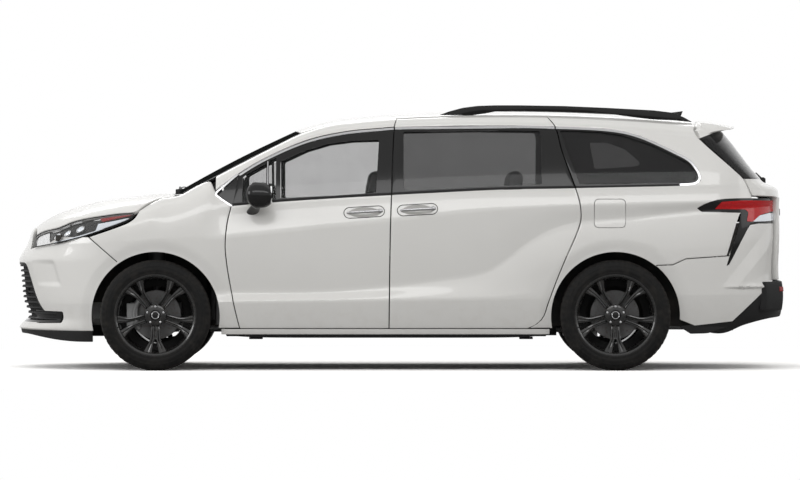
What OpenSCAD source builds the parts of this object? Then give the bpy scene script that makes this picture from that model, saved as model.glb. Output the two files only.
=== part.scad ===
// A long family minivan: engine in front, two hinged front doors, sliding side doors, a top-hinged liftgate.
// +X points to the rear, +Y to the right-hand side, +Z up; the origin is on the ground under the middle.
// Outlines are drawn for a van of the nominal sizes below and stretched to the driving sizes by to_body().

/* [Body] */
// Overall length, bumper to bumper
body_l = 5173; // [4200:1:6300]
// Overall width at the doors, without mirrors
body_w = 1976; // [1600:1:2400]
// Height from the bottom of the sill to the top of the roof
body_h = 1490; // [1200:1:1800]
// Thickness of the side doors, skin to trim
door_t = 82; // [60:1:110]
// Thickness of fenders and quarter panels with their inner walls
panel_t = 45; // [30:1:60]
// Thickness of the roof with its headliner
roof_t = 38; // [25:1:50]
// Thickness of the hood with its inner frame
hood_t = 26; // [18:1:35]
// Thickness of the liftgate
gate_t = 60; // [45:1:75]
// Gap round a panel that opens
panel_gap = 6; // [5:0.5:7]
// Thickness of the window glass
glass_t = 5; // [3.5:0.5:6]

/* [Wheels] */
// Radius of the tyre
tyre_r = 368; // [300:1:390]
// Width of the tyre
tyre_w = 235; // [190:1:260]
// Radius of the rim's outer lip
rim_r = 272; // [230:1:290]
// Gap between tyre and arch
arch_gap = 62; // [50:1:80]
// Distance from the middle of the van to the middle of a tyre
half_track = 864; // [780:1:1000]
// Radius of the brake discs
disc_r = 165; // [140:1:190]
// Radius of the stub axles
stub_r = 30; // [24:1:36]

/* [Cabin] */
// Width of a front seat cushion
seat_w = 510; // [440:1:560]
// Thickness of a seat back
seat_back_t = 110; // [80:1:140]
// Radius of the steering wheel
steering_r = 185; // [160:1:200]

/* [Hidden] */
$fn = 48;

// Nominal sizes that the outlines are drawn for
nominal_l = 5173;
nominal_w = 1976;
nominal_h = 1490;
nominal_hub = 368;
kx = body_l / nominal_l;
ky = body_w / nominal_w;
kz = body_h / nominal_h;

// Nominal places
front_axle = -1627;
rear_axle = 1433;
arch_r = tyre_r + arch_gap;
half_w = nominal_w / 2;
front_turn = -1850; // where the sides begin to turn in towards the nose
rear_turn = 1950;   // and towards the tail
skin_gap = panel_gap / 2;

// From the nominal van to this one
function to_body(p) = [p[0] * kx, p[1] * ky, tyre_r + (p[2] - nominal_hub) * kz];
function body_z(z) = tyre_r + (z - nominal_hub) * kz;

function lerp(a, b, t) = a + (b - a) * t;
function unit(t) = max(0, min(1, t));
function ease(a, b, x) = let (t = unit((x - a) / (b - a))) t * t * (3 - 2 * t);
function hermite(x, a, ya, ma, b, yb, mb) =
    let (h = b - a, t = (x - a) / h, t2 = t * t, t3 = t2 * t)
    (2 * t3 - 3 * t2 + 1) * ya + (t3 - 2 * t2 + t) * h * ma + (3 * t2 - 2 * t3) * yb + (t3 - t2) * h * mb;

// A smooth curve through points [x, value], straight past its ends
function rise(p, i, k) = (p[k][1] - p[i][1]) / (p[k][0] - p[i][0]);
function slope_at(p, i) = rise(p, max(0, i - 1), min(len(p) - 1, i + 1));
function piece(p, x, i = 0) = (i >= len(p) - 2 || x < p[i + 1][0]) ? i : piece(p, x, i + 1);
function curve(p, x) =
    x <= p[0][0] ? p[0][1] + (x - p[0][0]) * slope_at(p, 0) :
    x >= p[len(p) - 1][0] ? p[len(p) - 1][1] + (x - p[len(p) - 1][0]) * slope_at(p, len(p) - 1) :
    let (i = piece(p, x))
    hermite(x, p[i][0], p[i][1], slope_at(p, i), p[i + 1][0], p[i + 1][1], slope_at(p, i + 1));

// ---- Lines of the body, nominal ----

// Centre line of hood and roof, and fore and aft reach of nose and tail at each height
hood_line = [[-2475, 950], [-2380, 1010], [-2290, 1052], [-2115, 1106], [-1940, 1140], [-1680, 1168],
    [-1500, 1178]];
roof_line = [[-700, 1606], [-480, 1668], [-290, 1692], [0, 1716], [545, 1733], [1000, 1731], [1500, 1711],
             [1985, 1676], [2100, 1660]];
nose_line = [[250, -2545], [272, -2586], [345, -2530], [460, -2562], [590, -2576], [714, -2587], [750, -2580],
             [830, -2532], [916, -2502], [950, -2480]];
tail_line = [[300, 2545], [374, 2580], [544, 2586], [585, 2556], [712, 2548], [916, 2560], [1100, 2556],
    [1220, 2548]];
// Belt, shoulder crease, bottom of the hollow in the doors, and lower crease
belt_line = [[-1240, 1080], [-1122, 1094], [-827, 1120], [-454, 1145], [0, 1170], [593, 1200], [1152, 1212],
             [1931, 1229], [2300, 1235]];
shoulder_line = [[-2100, 850], [-1627, 868], [-1142, 896], [-620, 951], [-66, 1007], [425, 1064], [890, 1091],
                 [1186, 1102], [1980, 1122], [2300, 1130]];
hollow_line = [[-1500, 545], [-1100, 560], [0, 580], [400, 592], [520, 615], [677, 712], [847, 848],
    [1016, 940], [1186, 985], [1524, 1015], [1980, 1062], [2300, 1080]];
function crease_z(x) = 458 + 0.0145 * (x + 1096);
// Top of the windows, and the rail above them up to the edge of screen and roof
drip_line = [[-1240, 1184], [-1082, 1303], [-896, 1414], [-624, 1531], [-372, 1589], [-115, 1614], [0, 1622],
             [762, 1631], [1033, 1625], [1491, 1600], [1985, 1556], [2100, 1543]];
rail_top = [[-1470, 1169], [-1268, 1270], [-1062, 1378], [-800, 1512], [-657, 1580], [-480, 1634],
    [-290, 1659], [0, 1683], [545, 1700], [1000, 1698], [1500, 1678], [1985, 1643], [2100, 1628]];
rail_y = [[-1470, 800], [-1268, 780], [-1062, 742], [-800, 690], [-657, 655], [-400, 628], [0, 615],
    [1000, 612], [1985, 600], [2100, 596]];

// Half width in plan, with rounded ends
function half_plan(x) =
    half_w - 40 * pow(max(0, (-1500 - x) / 500), 2) - 30 * pow(max(0, (x - 1300) / 800), 2);
function corner(t, n) = pow(max(0, 1 - pow(unit(t), n)), 1 / n);
function plan_y(x, z) =
    let (nose = curve(nose_line, min(z, 950)), tail = curve(tail_line, min(z, 1220)))
    half_plan(x) * corner((front_turn - x) / (front_turn - nose), 2.3)
                 * corner((x - rear_turn) / (tail - rear_turn), 3.2);

// Share of plan_y from sill to belt: crease, hollow, shoulder
function belt_in(x) = 4 + 0.33 * max(0, curve(belt_line, x) - 45 - curve(shoulder_line, x));
function side_in(x, z) =
    let (belt = curve(belt_line, x), shoulder = curve(shoulder_line, x), hollow = curve(hollow_line, x),
         crease = crease_z(x), front = ease(-1450, -1120, x), haunch = ease(450, 1150, x),
         depth = 8 + 30 * front * (1 - haunch), full = unit(1 - front + haunch), low = -0.10 * haunch)
    z < crease ? 12 + 0.2 * (crease - z) + 0.0003 * pow(crease - z, 2) :
    z < hollow ? hermite(z, crease, 12, lerp(0.2, -0.06, full), hollow, depth, -low) :
    z < shoulder ? hermite(z, hollow, depth, -low, shoulder, 0, -0.09) :
    hermite(min(z, belt), shoulder, 0, 0.3, belt, belt_in(x), 0.12);
function side_y(x, z) = plan_y(x, z) * (1 - side_in(x, z) / half_w);
// Window plane, leaning in above the belt, and the rounded rail over it
function frame_y(x, z) =
    let (h = max(0, z - curve(belt_line, x)))
    side_y(x, min(z, curve(belt_line, x))) - 0.28 * h - 0.00034 * h * h;
function rail_y_at(x, z) =
    let (low = curve(drip_line, x), high = curve(rail_top, x), out = frame_y(x, low), in = curve(rail_y, x))
    in + (out - in) * sqrt(1 - pow(unit((z - low) / (high - low)), 2));
function body_y(x, z) = z > curve(drip_line, x) ? rail_y_at(x, z) : frame_y(x, z);

// Hood, and the fender that rolls up to it
function roundness(x) = curve([[-2300, 2.6], [-1800, 3.4], [-1500, 5]], max(-2400, min(-1500, x)));
function hood_z(x, y) =
    let (low = curve(shoulder_line, x), n = roundness(x))
    low + (curve(hood_line, x) - low) * corner(abs(y) / plan_y(x, 880), n);
fender_top = [[-1741, 1060], [-1607, 1143], [-1520, 1158], [-1470, 1169], [-1268, 1262], [-1228, 1190],
    [-1122, 1094]];
fender_top_y = [[-1700, 860], [-1607, 790], [-1470, 800], [-1268, 782], [-1228, 850], [-1122, 930]];
function fender_y(x, z) =
    let (low = curve(shoulder_line, x), w = plan_y(x, z), n = roundness(x), in = curve(fender_top_y, x),
         by_hood = w * corner((z - low) / (curve(hood_line, x) - low), n),
         by_cowl = in + (w - in) * corner((z - low) / (curve(fender_top, x) - low), 2.2),
         own = lerp(by_hood, by_cowl, ease(-1700, -1560, x)))
    z < low ? side_y(x, z) : lerp(own, frame_y(x, z), ease(-1350, -1122, x));

// Roof between its rails
function roof_z(x, y) = curve(roof_line, x) - 33 * pow(abs(y) / curve(rail_y, x), 2);

// Bumpers: half round from the wheel arch to the middle of nose or tail; turn runs from 0 at the side to 1
function turn_in(turn, n) = pow(sin(90 * turn), 2 / n);
function nose_point(turn, z, edge) =
    let (x = lerp(edge, curve(nose_line, z), turn_in(turn, 2.3))) [x, turn >= 1 ? 0 : side_y(x, z), z];
function tail_point(turn, z, edge) =
    let (x = lerp(edge, curve(tail_line, z), turn_in(turn, 3.2))) [x, turn >= 1 ? 0 : side_y(x, z), z];
arch_n = arch_r / kx;
function arch_reach(z) = sqrt(max(0, pow(arch_n, 2) - pow((z - nominal_hub + 7) * kz / kx, 2)));

// ---- Solids from grids of points ----

function grid(nu, nv, f) = [for (j = [0:nv]) [for (i = [0:nu]) f(i / nu, j / nv)]];
function flat(rows) = [for (r = rows) for (p = r) p];

// A closed slab between two grids of the same size; the outer grid faces outwards when u then v turn
// clockwise seen from outside
module slab(outer, inner, turned = false) {
    n = len(outer[0]);
    m = len(outer);
    k = n * m;
    tris = concat(
        [for (j = [0:m - 2]) for (i = [0:n - 2]) let (a = j * n + i, b = a + 1, c = b + n, d = a + n)
            each [[a, b, c], [a, c, d], [k + a, k + c, k + b], [k + a, k + d, k + c]]],
        [for (i = [0:n - 2]) let (a = i, b = i + 1, c = (m - 1) * n + i + 1, d = c - 1)
            each [[b, a, k + a], [b, k + a, k + b], [d, c, k + c], [d, k + c, k + d]]],
        [for (j = [0:m - 2]) let (a = j * n, d = a + n, b = a + n - 1, c = b + n)
            each [[a, d, k + d], [a, k + d, k + a], [c, b, k + b], [c, k + b, k + c]]]);
    points = [for (p = concat(flat(outer), flat(inner))) to_body(p)];
    polyhedron(points, turned ? [for (t = tris) [t[0], t[2], t[1]]] : tris, convexity = 6);
}

// A box between two nominal corners
module block(low, high) {
    a = to_body(low);
    b = to_body(high);
    translate(a) cube(b - a);
}

// A side-view outline, nominal [x, z], pushed through the van from y = from to y = to
module through(outline, from, to) {
    pts = [for (p = outline) let (q = to_body([p[0], 0, p[1]])) [q[0], q[2]]];
    translate([0, to * ky, 0]) rotate([90, 0, 0]) linear_extrude((to - from) * ky) polygon(pts);
}

// A front-view outline, nominal [y, z], pushed along X
module along(outline, from, to) {
    pts = [for (p = outline) let (q = to_body([0, p[0], p[1]])) [q[1], q[2]]];
    translate([from * kx, 0, 0]) rotate([90, 0, 90]) linear_extrude((to - from) * kx) polygon(pts);
}

// A plan outline, nominal [x, y], pushed up
module upright(outline, from, to) {
    pts = [for (p = outline) [p[0] * kx, p[1] * ky]];
    translate([0, 0, body_z(from)]) linear_extrude((to - from) * kz) polygon(pts);
}

// A cylinder across the van, at a true place
module across(x, z, r, from, to) {
    translate([x, to, z]) rotate([90, 0, 0]) cylinder(r = r, h = to - from);
}

module right_and_left() {
    children();
    mirror([0, 1, 0]) children();
}

module arch(axle) {
    across(axle * kx, tyre_r - 7, arch_r, 560, half_w * ky + 60);
}

// Points between side edges left(z), right(z) and rows from bottom(x) to top(x)
function settle(u, v, left, right, bottom, top, z, times) =
    let (x = lerp(left(z), right(z), u), at = lerp(bottom(x), top(x), v))
    times == 0 ? [x, at] : settle(u, v, left, right, bottom, top, at, times - 1);

// ---- Doors ----

door_foot = 281;
door_top = function (x) curve(drip_line, x);
belt_top = function (x) curve(belt_line, x);
front_edge_line = [[269, -1064], [408, -1098], [578, -1131], [712, -1152], [831, -1162], [983, -1149],
    [1094, -1123], [1308, -1078]];
middle_edge_line = [[269, -73], [916, -64], [1162, -56], [1620, -38], [1700, -15]];
slide_edge_line = [[269, 800], [290, 880], [349, 949], [441, 983], [578, 1033], [746, 1101], [899, 1169],
    [1001, 1202], [1120, 1194], [1240, 1157], [1464, 1078], [1622, 1036], [1700, 975]];
slide_top = function (x) curve(rail_top, x) - 8;

// Rows of a door: lower panel up to share at_belt, window frame above
function door_point(u, v, left, right, foot, top, at_belt) =
    v <= at_belt ? settle(u, v / at_belt, left, right, foot, belt_top, 700, 3)
                 : settle(u, (v - at_belt) / (1 - at_belt), left, right, belt_top, top, 1350, 3);

module door_slab(left, right, foot, top, at_belt, nu, nv, tuck_front, tuck_rear) {
    outer = grid(nu, nv, function (u, v)
        let (p = door_point(u, v, left, right, foot, top, at_belt)) [p[0], body_y(p[0], p[1]), p[1]]);
    inner = grid(nu, nv, function (u, v)
        let (p = door_point(u, v, function (z) left(z) + tuck_front, function (z) right(z) - tuck_rear,
                            foot, top, at_belt), thin = max(0, v - 0.85) / 0.15)
        [p[0], body_y(p[0], p[1]) - lerp(door_t, 36, thin) / ky, p[1]]);
    slab(outer, inner);
}

front_window = [[-1062, 1118], [-1048, 1285], [-896, 1376], [-624, 1495], [-372, 1553], [-130, 1580],
    [-140, 1180], [-454, 1162], [-827, 1137]];
slide_window = [[50, 1188], [50, 1592], [762, 1598], [1000, 1590], [1040, 1560], [1120, 1300], [1125, 1226],
                [593, 1216]];
quarter_window = [[1098, 1590], [1330, 1580], [1470, 1562], [1670, 1495], [1905, 1378], [1955, 1310],
    [1950, 1262], [1905, 1242], [1205, 1228], [1150, 1380]];

module front_door_shell() {
    door_slab(function (z) curve(front_edge_line, z) + skin_gap,
        function (z) curve(middle_edge_line, z) - skin_gap,
                  function (x) door_foot, function (x) door_top(x) - 4, 0.6, 12, 15, 20, 40);
}

module front_door() {
    color("white") difference() {
        front_door_shell();
        through(front_window, 500, half_w + 50);
    }
}

module sliding_door_shell() {
    door_slab(function (z) curve(middle_edge_line, z) + skin_gap,
        function (z) curve(slide_edge_line, z) - skin_gap,
                  function (x) door_foot, slide_top, 0.6, 14, 15, 12, 20);
}

module sliding_door() {
    color("white") difference() {
        sliding_door_shell();
        through(slide_window, 400, half_w + 50);
    }
}

// Glass that fills an outline in the side, set in from the frame's face
glass_set_in = 20;
module side_glass(outline, from, to, low, high, nu, nv) {
    face = function (in) grid(nu, nv, function (u, v)
        let (x = lerp(from, to, u), z = lerp(low, high, v)) [x, frame_y(x, z) - in, z]);
    color([0.1, 0.11, 0.12, 0.5]) intersection() {
        slab(face(glass_set_in), face(glass_set_in + glass_t / ky));
        through(outline, 400, half_w + 50);
    }
}

module front_window() {
    side_glass(front_window, -1100, -100, 1090, 1610, 8, 5);
}

module sliding_window() {
    side_glass(slide_window, 20, 1160, 1170, 1615, 8, 5);
}

module quarter_window() {
    side_glass(quarter_window, 1060, 1990, 1200, 1610, 8, 5);
}

// ---- Fixed panels of the side ----

module front_fender() {
    front = function (z) z > 888 ? -2069 : z < 717 ? -1870 : lerp(-1870, -2069, (z - 717) / 171);
    top = function (x) x < -1741 ? curve([[-2069, 885], [-1833, 968], [-1765, 1008], [-1741, 1042]], x) :
        curve(fender_top, x) - 5;
    pick = function (u, v, d) let (p = settle(u, v, front, function (z) curve(front_edge_line, z) - skin_gap,
        function (x) 284, top, 700, 3)) [p[0], fender_y(p[0], p[1]) - d, p[1]];
    color("white") difference() {
        slab(grid(14, 9, function (u, v) pick(u, v, 0)),
            grid(14, 9, function (u, v) pick(u, v, panel_t / ky)));
        arch(front_axle);
    }
}

lamp_high = [[1975, 1078], [2032, 1110], [2131, 1138], [2377, 1145], [2560, 1140]];
quarter_rear = [[700, 2150], [762, 2172], [1042, 2262], [1056, 2285], [1150, 2345], [1164, 2341],
    [1275, 2286], [1311, 2250], [1540, 1996], [1601, 1960], [1640, 1972]];
fuel_cut = [[1292, 950], [1499, 950], [1499, 1140], [1292, 1140]];

// The lamp as it shows in the side, grown all round by m
function lamp_side(m) = concat(
    [for (x = [1975:45:2560]) [x - (x < 2000 ? m : 0), curve(lamp_high, x) + m]],
    [[2620, 1140 + m], [2620, 960 - m]],
    [[2326, 961 - m], [2188 + m, 706 - m], [2172 - m, 697 - m], [2244 - m, 920], [2272 - m, 1050 - m],
        [2005, 1056 - m]]);

function wing_line(up) = concat([[1600, 694 + up]], [for (k = [1:3]) [tail_top[k][0], tail_top[k][1] + up]],
    [[2191, 760 + up]]);
module quarter_panel() {
    left = function (z) curve(slide_edge_line, z) + skin_gap;
    right = function (z) curve(quarter_rear, max(z, 705));
    foot = function (x) x < rear_axle ? 284 : x < 1700 ? 284 + (x - rear_axle) * 1.58 :
        pieced(tail_top, x) + 6;
    pick = function (u, v, d) let (thin = max(0, v - 0.85) / 0.15,
        tuck = d > 0 ? 78 * ease(850, 950, lerp(284, 1212, v / 0.6)) : 0,
        p = door_point(u, v, left, function (z) right(z) - tuck, foot, slide_top, 0.6))
        [p[0], body_y(p[0], p[1]) - d * lerp(1, 0.8, thin), p[1]];
    color("white") difference() {
        slab(grid(14, 15, function (u, v) pick(u, v, 0)),
            grid(14, 15, function (u, v) pick(u, v, panel_t / ky)));
        arch(rear_axle);
        through(quarter_window, 400, half_w + 50);
        through(lamp_side(lamp_gap), 500, half_w + 60);
        through(concat(wing_line(panel_gap), [[2191, 600], [1650, 600]]), 500, half_w + 60);
    }
}

fuel_in = half_w - 8;
module fuel_cut(m, from, to) {
    through([for (p = fuel_cut) [p[0] + (p[0] < 1400 ? -m : m), p[1] + (p[1] < 1000 ? -m : m)]], from, to);
}

module quarter_panels() {
    quarter_panel();
    mirror([0, 1, 0]) {
        difference() {
            quarter_panel();
            fuel_cut(0, fuel_in - 26, half_w + 40);
        }
        // Stop that the fuel door rests on
        difference() {
            block([1450, half_w - 44, 1030], [1470, half_w + 10, 1060]);
            fuel_flap(false);
        }
    }
}

module fuel_flap(trimmed) {
    face = function (d) grid(3, 3, function (u, v) let (x = lerp(1270, 1520, u), z = lerp(930, 1160, v)) [x,
        body_y(x, z) - d, z]);
    intersection() {
        slab(face(trimmed ? 0 : -60), face(7 / ky));
        fuel_cut(trimmed ? -panel_gap + 1 : 10, 700, half_w + 80);
    }
}

module fuel_door() {
    color("white") mirror([0, 1, 0]) fuel_flap(true);
}

module front_pillar() {
    top = function (x) curve(rail_top, x);
    foot = function (x) curve(drip_line, x) + 3;
    pick = function (u, v, d) let (s = sin(90 * v), x0 = lerp(-1226, -38, u),
        z0 = lerp(foot(x0), top(x0) - 2, s),
        x = lerp(-1226, curve(middle_edge_line, z0) - skin_gap, u), z = lerp(foot(x), top(x) - 2, s))
        [x, rail_y_at(x, z) - d, z - d * v];
    color("white") difference() {
        union() {
            slab(grid(14, 4, function (u, v) pick(u, v, 0)), grid(14, 4, function (u, v) pick(u, v, 34)));
            block([-1225, 700, 1060], [-1185, 790, 1265]);
        }
        glass_shell();
        roof_shell();
    }
    // The pillar that the door hangs on, behind the fender
    color("silver") block([-1225, 700, 300], [-1172, 860, 1060]);
}

module middle_pillar() {
    color("silver") upright([[-105, 760], [-20, 760], [-20, 810], [-105, 810]], 330, 1080);
    color("silver") difference() {
        hull() {
            block([-105, 760, 1070], [-20, 810, 1080]);
            block([-105, 568, 1638], [-20, 600, 1652]);
        }
        roof_shell();
    }
    // Strikers that the two doors close against
    color("silver") difference() {
        block([-110, 800, 760], [40, 960, 800]);
        front_door_shell();
        sliding_door_shell();
    }
}

module rocker() {
    lip = function (x, z) side_y(x, z);
    foot = 222;
    pick = function (u, v, d) let (x = lerp(front_axle + arch_n + 8, rear_axle - arch_n - 8, u),
        z = lerp(foot, 274, v))
        [x, d > 0 ? 690 : lip(x, z), z];
    color("white") slab(grid(10, 2, function (u, v) pick(u, v, 0)),
        grid(10, 2, function (u, v) pick(u, v, 1)));
    color("silver") block([-1171, 740, 274], [930, 800, 330]);
    color("silver") block([-1225, 740, 274], [-1172, 800, 300]);
    color("silver") block([-1170, 690.3, 290], [960, 750, 326]);
    // Jacking points
    color("dimgray") for (x = [-960, 840]) block([x - 45, 800, 206], [x + 45, 860, 222]);
}

// ---- Top ----

module roof_shell() {
    at = function (u, v, d) let (s = lerp(-1, 1, v), front = -660 - 40 * (1 - s * s),
        x = lerp(front, 1960, u), y = s * (curve(rail_y, x) - 3))
        [x, y * (1 - d / 1500), roof_z(x, y) - d];
    slab(grid(16, 10, function (u, v) at(u, v, 0)), grid(16, 10, function (u, v) at(u, v, roof_t / kz)),
        true);
}

module roof() {
    color("white") roof_shell();
    color("black") upright([[1850, -6], [1960, -3], [1960, 3], [1850, 6]], 1640, 1733);
}

module roof_rails() {
    bar = concat([[260, 1702], [440, 1757], [560, 1768]],
        [for (x = [800:300:1700]) [x, curve(roof_line, x) + 36]],
                 [[1830, 1719], [1960, 1652], [1850, 1670], [1700, 1671]],
                     [for (x = [1600:-350:550]) [x, curve(rail_top, x) + 12]],
                 [[500, 1702]]);
    color("black") difference() {
        right_and_left() through(bar, 568, 600);
        roof_shell();
    }
}

module glass_shell() {
    at = function (u, v, d) let (s = lerp(-1, 1, u), side = lerp(-1440, -666, v),
        mid = lerp(-1528, -708, v), x = lerp(mid, side, s * s),
        high = lerp(1178, 1600, v) + 14 * sin(180 * v))
        [x + d * 0.4, s * (curve(rail_y, side) - 6), lerp(high, curve(rail_top, side) - 4, s * s) - d * 0.85];
    slab(grid(10, 10, function (u, v) at(u, v, 0)), grid(10, 10, function (u, v) at(u, v, glass_t / kz)),
        true);
}

module windshield() {
    color([0.1, 0.12, 0.13, 0.4]) glass_shell();
}

hood_edge = [[-2475, 345], [-2450, 405], [-2300, 655], [-2173, 752], [-2007, 845], [-1850, 893],
    [-1760, 912], [-1720, 880],
             [-1607, 783], [-1496, 762]];
module hood_shell() {
    at = function (u, v, d) let (s = lerp(-1, 1, u), far = lerp(-1502, -2444, v),
        x = far - lerp(42, 18, v) * (1 - s * s), y = s * (curve(hood_edge, far) - 6))
        [x, y * (1 - d / 1200), hood_z(x, y) - d];
    slab(grid(14, 14, function (u, v) at(u, v, 0)), grid(14, 14, function (u, v) at(u, v, hood_t / kz)));
}

module hood() {
    color("white") hood_shell();
}

module cowl() {
    color("black") difference() {
        union() {
            upright([[-1570, -680], [-1440, -720], [-1262, -690], [-1262, 690], [-1440, 720], [-1570, 680]],
                1080, 1112);
            block([-1440, -60, 1112], [-1400, 60, 1250]);
        }
        glass_shell();
    }
    color("silver") block([-1262, -690, 330], [-1232, 690, 1112]);
    // Wiper pivots
    color("black") for (y = [-560, 150]) translate([(y < 0 ? -1500 : -1534) * kx, y * ky,
        body_z(1112)]) cylinder(r = 9, h = 26 * kz);
}

// ---- Ends ----

bumper_top = [[0, 944], [400, 944], [490, 802], [760, 838], [885, 886], [1200, 886]];
function pieced(p, x) = let (i = piece(p, x)) lerp(p[i][1], p[i + 1][1],
    unit((x - p[i][0]) / (p[i + 1][0] - p[i][0])));
front_edge_x = function (z) z < 717 ? front_axle - arch_reach(z) : lerp(-1880, -2079, unit((z - 717) / 171));
module front_bumper_shell() {
    at = function (u, v, d) let (s = lerp(-1, 1, u), turn = 1 - abs(s),
        y0 = 950 * pow(cos(90 * turn), 2 / 2.3),
        top = pieced(bumper_top, y0), z = lerp(262, top, v), p = nose_point(turn, z, front_edge_x(z)))
        [p[0] + d * sin(90 * turn) * (1 - 0.32 * v * v), (s < 0 ? -1 : 1) * max(0, p[1] - d * cos(90 * turn)),
            z - (turn > 0.6 ? d * v * v : 0)];
    slab(grid(24, 12, function (u, v) at(u, v, 0)), grid(24, 12, function (u, v) at(u, v, 40)), true);
}

module front_bumper() {
    color("white") difference() {
        front_bumper_shell();
        along(grille_outline, -2700, -2150);
        headlights_room();
        arch(front_axle);
        mirror([0, 1, 0]) arch(front_axle);
    }
}

grille_outline = [[-500, 712], [500, 712], [690, 385], [860, 385], [830, 312], [-830, 312], [-860, 385],
    [-690, 385]];
module grille_shell() {
    at = function (u, v, d) let (s = lerp(-1, 1, u), turn = 1 - abs(s) * 0.8, z = lerp(300, 725, v),
        p = nose_point(turn, z, -2055))
        [p[0] + d, (s < 0 ? -1 : 1) * p[1], z];
    slab(grid(16, 6, function (u, v) at(u, v, 14)), grid(16, 6, function (u, v) at(u, v, 32)), true);
}

module grille() {
    color("black") intersection() {
        grille_shell();
        along([for (p = grille_outline) [p[0] - sign(p[0]) * 0.5,
            p[1] > 500 ? p[1] - 0.4 : p[1] < 350 ? p[1] + 0.4 : p[1]]], -2700, -2100);
    }
}

head_low = [[-2470, 492, 812], [-2287, 762, 847], [-2085, 885, 897], [-1833, 942, 987], [-1765, 932, 1032]];
head_top_x = [[0, -2446], [0.2, -2350], [0.45, -2190], [0.7, -2000], [1, -1775]];
function along_points(p, t) = let (k = unit(t) * (len(p) - 1), i = min(len(p) - 2, floor(k)), f = k - i)
    [for (a = [0:2]) let (s0 = (p[min(len(p) - 1, i + 1)][a] - p[max(0, i - 1)][a]) / (i > 0 ? 2 : 1),
                          s1 = (p[min(len(p) - 1, i + 2)][a] - p[i][a]) / (i < len(p) - 2 ? 2 : 1))
        hermite(f, 0, p[i][a], s0, 1, p[i + 1][a], s1)];
module headlight_shell(m) {
    at = function (u, v, d) let (a = along_points(head_low, u), x = curve(head_top_x, u),
        y = curve(hood_edge, x) - 2, b = [x, y, hood_z(x, y) - 3], p = lerp(a, b, v),
        out = 10 * sin(180 * v) + (d > 0 ? 0 : m))
        [p[0] + d * lerp(0.9, 0.2, u) * (1 - 0.85 * v) - out * (1 - u),
            p[1] - d * lerp(0.1, 0.7, u) * (1 - 0.8 * v) + out * u,
            p[2] - (d > 0 ? 40 * v : 0) + (v < 0.01 ? -m : 0)];
    slab(grid(12, 4, function (u, v) at(u, v, 0)), grid(12, 4, function (u, v) at(u, v, 46 + m)));
}

module headlight() {
    color("gray") headlight_shell(0);
}

module headlights_room() {
    right_and_left() headlight_shell(3);
}

tail_top = [[1650, 694], [1812, 700], [1899, 740], [2174, 759], [2190, 759], [2330, 950], [2420, 974],
    [2480, 978]];
rear_edge_x = function (z) z < 700 ? rear_axle + arch_reach(z) : rear_axle + arch_reach(700) + 8;
gate_half = 622;
module rear_bumper_shell() {
    at = function (u, v, d) let (s = lerp(-1, 1, u), turn = 1 - abs(s),
        x0 = lerp(1700, 2560, turn_in(turn, 3.2)),
        y0 = side_y(x0, 700), top = y0 < gate_half + 5 ? 592 : pieced(tail_top, x0) + (x0 < 2200 ? 8 : 0),
        low = curve([[1850, 292], [1987, 250], [2110, 250], [2240, 299], [2430, 340], [2600, 352]], x0),
            z = lerp(low, top, v),
        p = tail_point(turn, z, rear_edge_x(z)))
        [p[0] - d * sin(90 * turn), (s < 0 ? -1 : 1) * max(0, p[1] - d * cos(90 * turn)), z];
    slab(grid(28, 10, function (u, v) at(u, v, 0)), grid(28, 10, function (u, v) at(u, v, 40)));
}

module rear_bumper() {
    color("white") difference() {
        rear_bumper_shell();
        arch(rear_axle);
        mirror([0, 1, 0]) arch(rear_axle);
        right_and_left() {
            through(lamp_side(lamp_gap), 400, half_w + 60);
            through(concat(wing_line(0), [[2191, 1100], [1600, 1100]]), 400, half_w + 60);
        }
        along([[-gate_half, 594], [gate_half, 594], [gate_half, 1200], [-gate_half, 1200]], 2200, 2700);
    }
}

lamp_gap = 0.5;
module tail_light() {
    at = function (u, v, d) let (turn = lerp(0, 0.66, u), z = lerp(680, 1165, v),
        x = lerp(1950, curve(tail_line, z) - 3, turn_in(turn, 3.2)))
        [x - d * sin(90 * turn) * 0.8, side_y(x, z) - d * cos(90 * turn) * 0.8, z];
    color("red") difference() {
        intersection() {
            slab(grid(14, 8, function (u, v) at(u, v, 0)), grid(14, 8, function (u, v) at(u, v, 44)));
            through(lamp_side(0), 400, half_w + 60);
        }
        block([1900, 400, 600], [1984, 1100, 1200]);
        block([2100, 400, 600], [2250, 1100, 712]);
        along([[-gate_half, 594], [gate_half, 594], [gate_half, 1200], [-gate_half, 1200]], 2200, 2700);
    }
}

// Liftgate: its middle line, half width, and where its sides lie, all by height
gate_mid = [[600, 2552], [712, 2548], [916, 2560], [1100, 2556], [1170, 2560], [1212, 2548], [1262, 2452],
    [1585, 2196], [1625, 2130], [1662, 2000]];
gate_y = [[600, 616], [1152, 616], [1160, 836], [1275, 836], [1540, 798], [1600, 738], [1640, 630],
    [1662, 570]];
gate_x = [[600, 2524], [1152, 2524], [1160, 2352], [1275, 2300], [1540, 2012], [1601, 1984], [1640, 1988],
    [1662, 2000]];
function gate_point(s, z) = let (y = pieced(gate_y, z), side = pieced(gate_x, z), mid = curve(gate_mid, z))
    [lerp(side, mid, corner(abs(s), lerp(2.2, 3, ease(1300, 1100, z)))), s * y, z];
module gate_shell() {
    rows = [600, 712, 916, 1060, 1152, 1160, 1212, 1262, 1330, 1420, 1500, 1540, 1585, 1625, 1658];
    at = function (u, j, d) let (s = lerp(-1, 1, u), p = gate_point(s, rows[j]))
        [p[0] - d * (rows[j] > 1600 ? 0.4 : 0.95), p[1] * (1 - d / 1500),
            p[2] - (rows[j] > 1400 ? d * 0.35 * ease(1400, 1650, rows[j]) : 0)];
    make = function (d) [for (j = [0:len(rows) - 1]) [for (i = [0:14]) at(i / 14, j, d)]];
    slab(make(0), make(gate_t / kx), true);
}

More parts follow.
